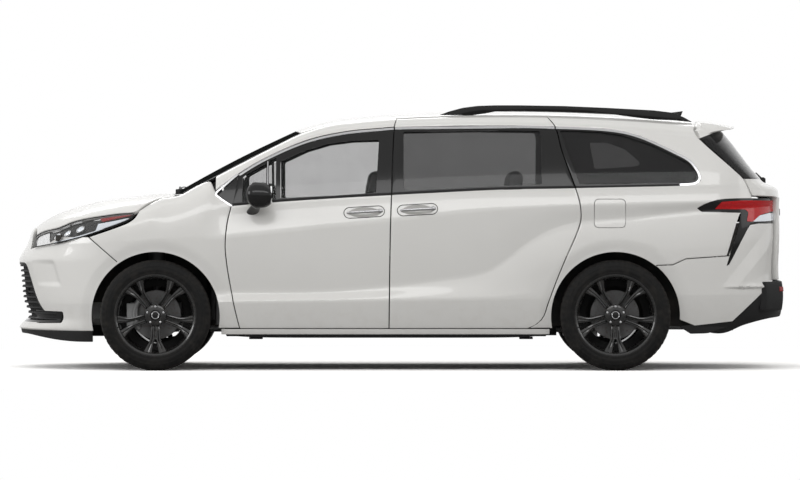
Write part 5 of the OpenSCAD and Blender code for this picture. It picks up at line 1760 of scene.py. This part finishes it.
def spoke(arm, side, dish):
    """One of the ten spokes of a wheel; its face looks to +Y, and it runs outwards in the XZ plane."""
    ribs = [(-0.5, -40), (-0.5, -12), (-0.40, -3), (-0.16, 0), (0.0, -5), (0.20, -1), (0.42, -3),
            (0.5, -12), (0.5, -40)]
    bm = bmesh.new()
    bmesh.ops.create_grid(bm, x_segments=18, y_segments=len(ribs) - 1, size=0.5)
    a = math.radians(arm)
    along, across = Vector((math.cos(a), 0, math.sin(a))), Vector((-math.sin(a), 0, math.cos(a)))
    for v in bm.verts:
        t = v.co.x + 0.5
        off, deep = ribs[round((v.co.y + 0.5) * (len(ribs) - 1))]
        r = lerp(40, 264, t)
        near = lerp(3, 8, t) + 14 * t ** 3
        far = lerp(28, 41, t) + 46 * ease(0.45, 1.0, t) ** 1.3
        o = lerp(near, far, off + 0.5)
        face = 98 - dish * (1 - t) ** 1.4 - 10 * (1 - ease(0.0, 0.25, t)) + 4 * ease(0.8, 1, t)
        v.co = (along * r + across * (o * side) + Vector((0, face + deep, 0))) * MM
    return closed_up(bm)


def wheel_parts(piece, dish):
    """Rim, spokes, hub, nuts, cap and brake disc of a wheel at the origin, facing +Y."""
    rim = [(258, -104), (270, -104), (274, -98), (270, -88), (258, -84), (250, -60), (244, -10),
           (244, 40), (250, 78), (262, 92), (268, 97), (274, 103), (276, 109), (273, 113), (266, 113),
           (258, 108), (250, 98), (243, 70), (238, 20), (236, -60), (246, -96)]
    middle = (0, 0, 0)
    piece.add(lathe(rim, middle, 96), "alloy")
    for k in range(5):
        for side in (-1, 1):
            piece.add(spoke(270 + 72 * k, side, dish), "alloy")
    hub = [(0.1, 30), (36, 30), (36, 56), (66, 56), (72, 62), (70, 76), (60, 82), (36, 84), (33, 78),
           (0.1, 78)]
    piece.add(lathe(hub, middle, 72, closed=False), "alloy")
    cap = [(0.1, 78), (31, 78), (31, 84), (28, 87.5), (22, 88.5), (0.1, 89.5)]
    piece.add(lathe(cap, middle, 48, closed=False), "gloss")
    piece.add(lathe([(21, 88.2), (23.5, 90.2), (26, 88.2)], middle, 48), "bright")
    for k in range(5):
        a = math.radians(306 + 72 * k)
        x, z = NUT_RING * math.cos(a), NUT_RING * math.sin(a)
        piece.add(lathe([(14.5, 72), (14.5, 83), (11.5, 83), (11.5, 72)], (x, 0, z), 20), "alloy")
        nut = bmesh.new()
        bmesh.ops.create_cone(nut, cap_ends=True, segments=6, radius1=9.5 * MM, radius2=8.2 * MM,
                              depth=18 * MM)
        soft_edges(nut, nut.edges[:], 1.2, 2)
        piece.add(moved(turned(nut, -math.pi / 2, "X"), (x, 80, z)), "bright")
    disc = [(60, -76), (163, -76), (165, -78), (165, -86), (150, -87), (150, -89), (165, -90), (165, -98),
            (163, -100), (60, -100)]
    piece.add(lathe(disc, middle, 96), "brake")
    hat = [(0.1, -56), (62, -56), (70, -62), (72, -78), (60, -80), (0.1, -80)]
    piece.add(lathe(hat, middle, 48, closed=False), "cast")
    # Liner ring behind the disc, a painted shade: it closes the spoke windows, where the inside of the wheel
    # lies in shade
    piece.add(lathe([(190, -92), (236, -84), (236, -88), (190, -96)], middle, 72), "liner")
    valve = [(0.1, 0), (3.2, 0), (3.2, 22), (4.2, 23), (4.2, 31), (0.1, 32)]
    a = math.radians(198)
    piece.add(lathe(valve, (246 * math.cos(a), 92, 246 * math.sin(a)), 10, closed=False), "plastic")


def tyre_parts(piece, groove):
    """A tyre at the origin: sidewalls with ribs, blocks on the shoulders and grooves in the tread."""
    half = TYRE_W / 2
    side = [(262, half - 12), (270, half - 6), (280, half - 2.5), (290, half - 2.8), (292, half - 1.2),
            (300, half), (312, half + 0.6), (314, half - 0.4), (328, half - 0.5), (330, half - 1.8),
            (338, half - 3.2), (347, half - 6.5), (354, half - 11), (360, half - 18),
            (364.5, half - 28), (366.5, half - 40)]
    low = TYRE_R - groove
    tread = [(TYRE_R, 70), (TYRE_R, 47), (low, 46), (low, 37), (TYRE_R, 36), (TYRE_R, 9), (low, 8), (low, -8),
             (TYRE_R, -9)]
    profile = side + tread + [(r, -y) for r, y in reversed(side + tread[:-1])]
    steps = 216
    bm = bmesh.new()
    points = [bm.verts.new(Vector((0, y, r)) * MM) for r, y in profile]
    edges = [bm.edges.new((points[i], points[i + 1])) for i in range(len(points) - 1)]
    bmesh.ops.spin(bm, geom=points + edges, cent=(0, 0, 0), axis=(0, 1, 0), angle=2 * math.pi, steps=steps,
                   use_merge=True, use_duplicate=False)
    bmesh.ops.recalc_face_normals(bm, faces=bm.faces[:])
    for v in bm.verts:
        r, y = math.hypot(v.co.x, v.co.z) / MM, v.co.y / MM
        step = round(math.atan2(v.co.z, v.co.x) / (2 * math.pi) * steps) % steps
        sink = 0
        if abs(y) > 68 and r > 352:
            # Cuts across the shoulder
            sink = 4.0 if step % 4 == 0 else 0
        elif 10 < abs(y) < 68 and r > 366:
            # Fine cuts across the ribs of the tread
            sink = 3.2 if (step + int(abs(y) / 20)) % 6 == 0 else 0
        elif 331 < r < 356 and step % 4 < 2:
            # Blocks on the sidewall
            v.co.y -= math.copysign(2.6 * MM, y)
        if sink:
            k = (r - sink) / r
            v.co.x, v.co.z = v.co.x * k, v.co.z * k
    piece.add(bm, "tyre")


class VAN_OT_wheels(bpy.types.Operator):
    """Make the four wheels with their brake discs, and the tyres"""
    bl_idname = "van.wheels"
    bl_label = "Wheels and Tyres"

    def execute(self, context):
        looks = sizes()
        for name in WHEELS:
            for kind, make, slot, size in (("wheel", wheel_parts, "alloy", looks.spoke_dish / MM),
                                           ("tyre", tyre_parts, "tyre", looks.tread_depth / MM)):
                piece = Piece(f"{kind}_{name}")
                make(piece, size)
                if name.endswith("left"):
                    flip(piece.bm)
                low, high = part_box("tyre_" + name)
                bmesh.ops.translate(piece.bm, vec=(low + high) / 2, verts=piece.bm.verts[:])
                piece.done(name, slot, f"{kind}_{name}", angle=32)
        return {"FINISHED"}


# ---- Cabin ----

CLOTH_STEPS, CLOTH_PRESSURE, VOXEL = 14, 4.0, 0.009


def soften(bm, cap=0.014):
    """A padded form: the mesh is remeshed, blown up as cloth, and held near where it was."""
    mesh = bpy.data.meshes.new("pad")
    bm.to_mesh(mesh)
    bm.free()
    pad = bpy.data.objects.new("pad", mesh)
    bpy.context.scene.collection.objects.link(pad)
    remesh = pad.modifiers.new("remesh", "REMESH")
    remesh.mode, remesh.voxel_size, remesh.use_smooth_shade = "VOXEL", VOXEL, True
    graph = bpy.context.evaluated_depsgraph_get()
    plain = bpy.data.meshes.new_from_object(pad.evaluated_get(graph))
    pad.modifiers.clear()
    pad.data = plain
    before = [v.co.copy() for v in plain.vertices]
    cloth = pad.modifiers.new("cloth", "CLOTH")
    cloth.settings.use_pressure = True
    cloth.settings.uniform_pressure_force = CLOTH_PRESSURE
    cloth.settings.effector_weights.gravity = 0
    cloth.settings.quality = 4
    cloth.point_cache.frame_start, cloth.point_cache.frame_end = 1, 20
    scene = bpy.context.scene
    for number in range(1, CLOTH_STEPS + 1):
        scene.frame_set(number)
    graph = bpy.context.evaluated_depsgraph_get()
    blown = bpy.data.meshes.new_from_object(pad.evaluated_get(graph))
    pad.modifiers.clear()
    scene.frame_set(1)
    for v, old in zip(blown.vertices, before):
        step = v.co - old
        if step.length > cap:
            v.co = old + step.normalized() * cap
    pad.data = blown
    out = bmesh.new()
    out.from_mesh(pad.data)
    mesh = pad.data
    bpy.data.objects.remove(pad)
    bpy.data.meshes.remove(mesh)
    bmesh.ops.smooth_vert(out, verts=out.verts[:], factor=0.5, use_axis_x=True, use_axis_y=True,
                          use_axis_z=True)
    return out


def cushion_form(width, depth, height, channels=3):
    """A seat cushion at the origin: raised side bolsters, a crowned middle and sewn channels."""
    bm = bmesh.new()
    bmesh.ops.create_cube(bm, size=1)
    bmesh.ops.subdivide_edges(bm, edges=bm.edges[:], cuts=11, use_grid_fill=True)
    for v in bm.verts:
        x, y, z = v.co.x * 2, v.co.y * 2, v.co.z * 2
        squash = 1 - 0.06 * (x * x + y * y) / 2
        bolster = 26 * ease(0.55, 0.85, abs(y)) * (z > 0)
        crown = 12 * (1 - x * x) * (1 - y * y) * (z > 0)
        seam = math.sin(math.pi * (x + 1) / 2 * channels)
        dip = -5 * math.exp(-(seam / 0.22) ** 2) * (z > 0.9) * (abs(y) < 0.6)
        nose = -22 * max(0, -x) ** 6 * (z > 0)
        v.co = Vector((x * depth / 2 * squash, y * width / 2 * squash,
                       z * height / 2 * squash + bolster + crown + dip + nose)) * MM
    return bm


def head_form():
    """A head rest at the origin."""
    width, depth, height = 250, 95, 190
    bm = bmesh.new()
    bmesh.ops.create_cube(bm, size=1)
    bmesh.ops.subdivide_edges(bm, edges=bm.edges[:], cuts=7, use_grid_fill=True)
    for v in bm.verts:
        p = v.co * 2
        p = Vector((p.x * (1 - 0.12 * p.z * p.z - 0.1 * p.y * p.y), p.y * (1 - 0.10 * p.z * p.z),
                    p.z * (1 - 0.10 * p.y * p.y)))
        v.co = Vector((p.x * depth / 2, p.y * width / 2, p.z * height / 2)) * MM
    return bm


def pad_piece(name, form, angle, place, both_y, node_list):
    """Copies of a padded form, turned about Y and put in place, as one piece."""
    piece = Piece(name)
    for y in both_y:
        piece.add(moved(turned(form.copy(), angle, "Y"), (place[0], y, place[1])), "leather")
    thing = piece.done("body", "seat", *node_list, angle=180)


def seat_frame(name, x, ys, width, back_h):
    """Rails, base, side covers and head posts of a row of seats."""
    piece = Piece(name)
    for y in ys:
        for s in (-1, 1):
            edge = y + s * (width / 2 - 65)
            piece.add(block((x - 440, edge - 24, 332), (x - 20, edge + 24, 352), 4), "dark_metal")
            piece.add(block((x - 400, edge - 16, 352), (x - 60, edge + 16, 470), 8), "trim")
            post = [(x + 168 + 3 * k, y + s * 62, 590 + back_h + 10 * k) for k in range(5)]
            piece.add(pipe(post, 6, 10, 1.0, (1, 0, 0)), "bright")

        def back(u, v, rear):
            if rear:
                return lerp(x + 82, x + 272, v), y + lerp(-0.45, 0.45, u) * width, lerp(500, 575 + back_h, v)
            return (lerp(x + 66, x + 258, v) - 10 * math.sin(math.pi * u), y + lerp(-0.47, 0.47, u) * width,
                    lerp(500, 575 + back_h, v))

        def base(u, v, under):
            return (lerp(x - 480, x - 10, v), y + lerp(-0.46, 0.46, u) * width,
                    456 if under else 474 + 10 * math.sin(math.pi * v))
        piece.add(shell(10, 16, back, False, True, 4), "trim")
        piece.add(shell(8, 4, base, False, True, 4), "trim")
    piece.done("body", "seat")


class VAN_OT_seats(bpy.types.Operator):
    """Make the three rows of seats with their padded cushions, backs and head rests"""
    bl_idname = "van.seats"
    bl_label = "Seats"

    def execute(self, context):
        forms = {"cushion": soften(cushion_form(480, 490, 105)),
                 "back": soften(cushion_form(470, 590, 88, 4)), "head": soften(head_form(), cap=0.008),
                 "bench": soften(cushion_form(560, 470, 100)),
                 "bench_back": soften(cushion_form(550, 500, 84, 4))}
        for row, x, ys, width, back_h, node in (("front", -380, (-375, 375), 510, 560, "front_seats"),
                                                ("second", 560, (-375, 375), 510, 560, "second_row_seats"),
                                                ("third", 1640, (-295, 295), 590, 470, "third_row_seat")):
            bench = row == "third"
            lean = math.atan2(180, back_h)
            seat_frame(f"{row}_row_frames", x, ys, width, back_h)
            pad_piece(f"{row}_row_cushions", forms["bench" if bench else "cushion"], math.radians(4),
                      (x - 262, 548), ys, [node])
            pad_piece(f"{row}_row_backs", forms["bench_back" if bench else "back"], lean - math.pi / 2,
                      (x + 92, 570 + back_h / 2), ys, [])
            pad_piece(f"{row}_row_head_rests", forms["head"], lean * 0.6, (x + 208, 668 + back_h), ys, [])
        for form in forms.values():
            form.free()
        return {"FINISHED"}


class VAN_OT_cabin(bpy.types.Operator):
    """Make the dashboard, console, steering wheel and door pillars' trim"""
    bl_idname = "van.cabin"
    bl_label = "Dashboard and Wheel"

    def execute(self, context):
        dash = Piece("dashboard")
        section = [(-1230, 765), (-1230, 1078), (-1180, 1104), (-1080, 1098), (-975, 1072),
                   (-930, 1030), (-916, 985), (-950, 930), (-945, 860), (-985, 790)]
        path = smooth_path(section, 40)
        count = len(path)

        def dash_at(u, v):
            k = min(count - 2, int(u * (count - 1)))
            p = path[k].lerp(path[k + 1], u * (count - 1) - k)
            y = lerp(-686, 686, v)
            bulge = 18 * math.exp(-((y + 375) / 170) ** 2) * ease(0.2, 0.45, u) * (1 - ease(0.5, 0.7, u))
            return p[0] - (24 * (abs(y) / 686) ** 3 if p[0] > -1100 else 0), y, p[1] + bulge
        dash.add(closed_up(sheet(39, 60, dash_at)), "trim")
        dash.add(block((-985, -150, 1000), (-968, 110, 1130), 8), "screen")
        dash.add(block((-1000, -160, 990), (-985, 120, 1138), 8), "gloss")
        dash.add(block((-1010, -500, 1060), (-990, -250, 1116), 10), "screen")
        for y in (-640, -215, 175, 640):
            vent = [(34, -4), (38, 0), (38, 5), (34, 7), (30, 2)]
            dash.add(lathe(vent, (-938, y, 1010), 28, "x"), "bright")
        dash.add(block((-968, -104, 332), (-302, 104, 690), 22, 4), "trim")
        dash.add(block((-900, -84, 682), (-560, 84, 700), 8), "gloss")
        dash.add(block((-540, -96, 690), (-310, 96, 722), 18, 4), "leather")
        dash.add(block((-1232, -104, 332), (-968, 104, 770), 14), "trim")
        lever = [(-760, 0, 696), (-752, 0, 740), (-742, 0, 772)]
        dash.add(pipe(smooth_path(lever, 8), 9, 10, 1.0, (0, 1, 0)), "bright")
        dash.add(ball((-740, 0, 784), (20, 24, 22)), "leather")
        column = Vector((-775, -375, 985))
        tilt = math.radians(65)
        axis = Vector((math.sin(tilt), 0, math.cos(tilt)))
        shaft = [column + axis * d for d in (-170, -120, -60, -22)]
        dash.add(pipe(shaft, lambda t: lerp(44, 30, t), 16, 1.0, (0, 1, 0)), "trim")
        dash.done("body", "trim", "dashboard")

        wheel = Piece("steering_wheel")
        ring = [(185 * math.cos(a), 185 * math.sin(a), 0) for a in [2 * math.pi * k / 72 for k in range(73)]]
        wheel.add(pipe(ring, 14, 12), "leather")

        def pad(u, v, under):
            if under:
                return lerp(-56, 56, u), lerp(-70, 70, v), -16
            return (lerp(-62, 62, u) * (1 - 0.3 * v * v), lerp(-78, 78, v) * (1 - 0.15 * (2 * u - 1) ** 2),
                    12 + 8 * math.sin(math.pi * u) * math.sin(math.pi * v))

        def arm(u, v, under):
            if under:
                return lerp(48, 176, u), lerp(-14, 14, v), -8
            return lerp(48, 176, u), lerp(-18, 18, v) * (1 - 0.3 * u), 3 + 2 * math.sin(math.pi * v)
        wheel.add(shell(20, 12, pad, False, True, 4), "leather")
        for a in (0, 90, -90):
            spoke_arm = turned(shell(10, 4, arm, False, True, 2), math.radians(a), "Z")
            wheel.add(spoke_arm, "bright" if a else "gloss")
        turned(wheel.bm, tilt, "Y")
        bmesh.ops.translate(wheel.bm, vec=column * MM, verts=wheel.bm.verts[:])
        wheel.done("steering", "trim", "steering_wheel")

        pillars = Piece("middle_pillars")

        def post(u, v, inside):
            x0, x1, y0, y1, top = (-108, -18, 800, 598, 1650) if inside else (-112, -14, 748, 560, 1660)
            return lerp(x0, x1, u), lerp(y0, y1, ease(0.4, 1.0, v) * v), lerp(330, top, v)
        pillars.add(shell(6, 20, post, False, True, 8), "trim", both=True)
        pillars.add(block((-110, 800, 762), (40, 900, 798), 4), "cast", both=True)
        pillars.done("body", "underbody", "middle_pillars")
        return {"FINISHED"}


# ---- Underside and the rest of the frame ----

KEPT = {"floor_pan": "underseal", "engine": "cast", "front_subframe": "dark_metal",
        "front_struts": "dark_metal", "rear_axle": "dark_metal", "fuel_tank": "plastic",
        "knuckle_left": "cast", "knuckle_right": "cast"}


class VAN_OT_underside(bpy.types.Operator):
    """Give the frame's own parts their finishes, and add the brake calipers and the cabin floor"""
    bl_idname = "van.underside"
    bl_label = "Underside"

    def execute(self, context):
        for name, finish in KEPT.items():
            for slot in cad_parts[name].material_slots:
                slot.material = material(finish)
        for name in ("left", "right"):
            piece = Piece("caliper_" + name)
            low, high = [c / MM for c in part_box("tyre_front_" + name)]
            x, y, z = (low + high) / 2
            y = abs(y)

            def arc(r, first, last, steps, depth):
                return [(x + r * math.cos(a), y - depth, z + r * math.sin(a))
                        for a in [math.radians(lerp(first, last, k / steps)) for k in range(steps + 1)]]
            casting = pipe(arc(148, 140, 220, 14, 52), lambda t: 17.28 + 6.72 * math.sin(math.pi * t) ** 0.4,
                           14, 0.62, (0, 1, 0))
            piece.add(casting, "cast")
            piece.add(pipe(arc(178, 155, 205, 10, 84), 9, 8, 3.6, (0, 1, 0)), "cast")
            if name == "left":
                flip(piece.bm)
            piece.done("steer_" + name, "cast")
        exhaust = Piece("exhaust")
        low, high = [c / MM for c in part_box("exhaust")]
        route = smooth_path([(low.x + 4, 60, 262), (-400, 60, 262), (600, 60, 262), (1108, 60, 258)], 60)
        exhaust.add(pipe(route, 27, 20), "exhaust")
        box = prism(rounded([(1110, -180), (1340, -180), (1340, 180), (1110, 180)], 44, 6), 202, 289, "z")
        exhaust.add(soft_edges(box, sharp_edges(box), 14, 4), "exhaust")
        tail = smooth_path([(1336, 60, 262), (1500, 66, 266), (1900, 70, 268), (high.x - 30, 70, 262)], 50)
        exhaust.add(pipe(tail, 19, 18), "exhaust")
        for x in (-900, 300, 1915):
            exhaust.add(pipe([(x, 92, 268), (x, 104, 280), (x, 104, 289)], 4, 8), "exhaust")
        exhaust.done("body", "steel", "exhaust")
        carpet = Piece("cabin_carpet")

        def pile(u, v, under):
            return (lerp(-1225, 1975, u), lerp(-685, 685, v),
                    331 if under else 336 + 3 * math.sin(40 * u) * math.sin(18 * v))
        carpet.add(shell(80, 40, pile, False, True, 0), "carpet")
        carpet.done("body", "trim")
        return {"FINISHED"}


FLOOR_SEEN, FLOOR_BOUNCE = 1.7, 0.45   # white where no shadow falls, and what the floor gives back
EYE_AWAY, EYE_HIGH = 40.54, 1.194
LENS, LIFT = 268.0, -49 / 800


class VAN_OT_studio(bpy.types.Operator):
    """Make the floor, lamps, world and camera"""
    bl_idname = "van.studio"
    bl_label = "Studio"

    def execute(self, context):
        scene = context.scene
        level = sizes().lamp_light
        bm = bmesh.new()
        bmesh.ops.create_grid(bm, x_segments=8, y_segments=8, size=60)
        mesh = bpy.data.meshes.new("floor")
        bm.to_mesh(mesh)
        bm.free()
        floor = bpy.data.objects.new("floor", mesh)
        scene.collection.objects.link(floor)
        s = Shading("studio_floor")
        x, y = s.split("X"), s.split("Y")
        away = ((x / 4.6) * (x / 4.6) + (y / 3.4) * (y / 3.4)) ** 0.5
        path = s.add("ShaderNodeLightPath", out="Is Camera Ray")
        seen = s.add("ShaderNodeBsdfDiffuse", {}, {"Color": (FLOOR_SEEN, FLOOR_SEEN, FLOOR_SEEN, 1)})
        bounce = s.add("ShaderNodeBsdfDiffuse", {}, {"Color": (FLOOR_BOUNCE, FLOOR_BOUNCE, FLOOR_BOUNCE, 1)})
        paper = s.add("ShaderNodeMixShader", {}, {0: path, 1: bounce, 2: seen})
        white = s.add("ShaderNodeEmission", {}, {"Color": (1, 1, 1, 1), "Strength": 1.0})
        s.add_output(s.add("ShaderNodeMixShader", {}, {0: away.ramp(0.8, 1.5) * path, 1: paper, 2: white}))
        mesh.materials.append(s.material)

        world = bpy.data.worlds.new("studio")
        world.use_nodes = True
        nodes, links = world.node_tree.nodes, world.node_tree.links
        nodes.clear()
        path = nodes.new("ShaderNodeLightPath")
        shown = path.outputs["Is Camera Ray"]
        for ray in ("Is Transmission Ray", "Is Glossy Ray"):
            either = nodes.new("ShaderNodeMath")
            either.operation = "MAXIMUM"
            links.new(shown, either.inputs[0])
            links.new(path.outputs[ray], either.inputs[1])
            shown = either.outputs[0]
        mix = nodes.new("ShaderNodeMixShader")
        links.new(shown, mix.inputs[0])
        for place, colour, strength in ((1, (1.0, 0.985, 0.96, 1), 0.47 * level), (2, (1, 1, 1, 1), 1.0)):
            sky = nodes.new("ShaderNodeBackground")
            sky.inputs["Color"].default_value, sky.inputs["Strength"].default_value = colour, strength
            links.new(sky.outputs[0], mix.inputs[place])
        links.new(mix.outputs[0], nodes.new("ShaderNodeOutputWorld").inputs[0])
        scene.world = world

        for name, place, aim, width, height, power in (
                ("near_side", (0, -7.1, 5.2), (0, -0.95, 0.9), 10.0, 1.6, 205),
                ("far_side", (0, 7.1, 5.2), (0, 0.95, 0.9), 10.0, 1.6, 140),
                ("over", (0, 0, 7.5), (0, 0, 0), 9.0, 2.0, 30),
                ("nose", (-9, -3, 3.5), (-1.5, 0, 0.9), 4.0, 3.0, 200),
                ("tail", (9, -3, 3.5), (1.5, 0, 0.9), 4.0, 3.0, 70)):
            lamp = bpy.data.lights.new(name, "AREA")
            lamp.shape, lamp.size, lamp.size_y, lamp.energy = "RECTANGLE", width, height, power * level
            thing = bpy.data.objects.new(name, lamp)
            thing.location = place
            thing.rotation_euler = (Vector(aim) - Vector(place)).to_track_quat("-Z", "Y").to_euler()
            scene.collection.objects.link(thing)

        camera = bpy.data.cameras.new("camera")
        camera.lens, camera.sensor_width, camera.shift_y, camera.clip_end = LENS, 36.0, LIFT, 200
        eye = bpy.data.objects.new("camera", camera)
        eye.location = (0.0, -EYE_AWAY, EYE_HIGH)
        eye.rotation_euler = (math.pi / 2, 0, 0)
        scene.collection.objects.link(eye)
        scene.camera = eye
        scene.view_settings.view_transform = "Standard"
        return {"FINISHED"}


STEPS = (VAN_OT_studio, VAN_OT_body_sides, VAN_OT_doors, VAN_OT_side_glass, VAN_OT_top, VAN_OT_front_end,
         VAN_OT_rear_end, VAN_OT_mirrors, VAN_OT_wheels, VAN_OT_seats, VAN_OT_cabin, VAN_OT_underside)


class VAN_PT_panel(bpy.types.Panel):
    """The steps that make the van's looks"""
    bl_idname = "VAN_PT_panel"
    bl_label = "Van Looks"
    bl_space_type = "VIEW_3D"
    bl_region_type = "UI"
    bl_category = "Van"

    def draw(self, context):
        looks = context.scene.van_looks
        for name in LooksSizes.__annotations__:
            self.layout.prop(looks, name)
        for step in STEPS:
            self.layout.operator(step.bl_idname)


CLASSES = (LooksSizes,) + STEPS + (VAN_PT_panel,)


def register():
    for cls in CLASSES:
        bpy.utils.register_class(cls)
    bpy.types.Scene.van_looks = bpy.props.PointerProperty(type=LooksSizes)


def unregister():
    del bpy.types.Scene.van_looks
    for cls in reversed(CLASSES):
        bpy.utils.unregister_class(cls)


def main():
    register()
    bpy.ops.van.studio()
    bpy.ops.van.body_sides()
    bpy.ops.van.doors()
    bpy.ops.van.side_glass()
    bpy.ops.van.top()
    bpy.ops.van.front_end()
    bpy.ops.van.rear_end()
    bpy.ops.van.mirrors()
    bpy.ops.van.wheels()
    bpy.ops.van.seats()
    bpy.ops.van.cabin()
    bpy.ops.van.underside()


if __name__ == "__main__":
    main()
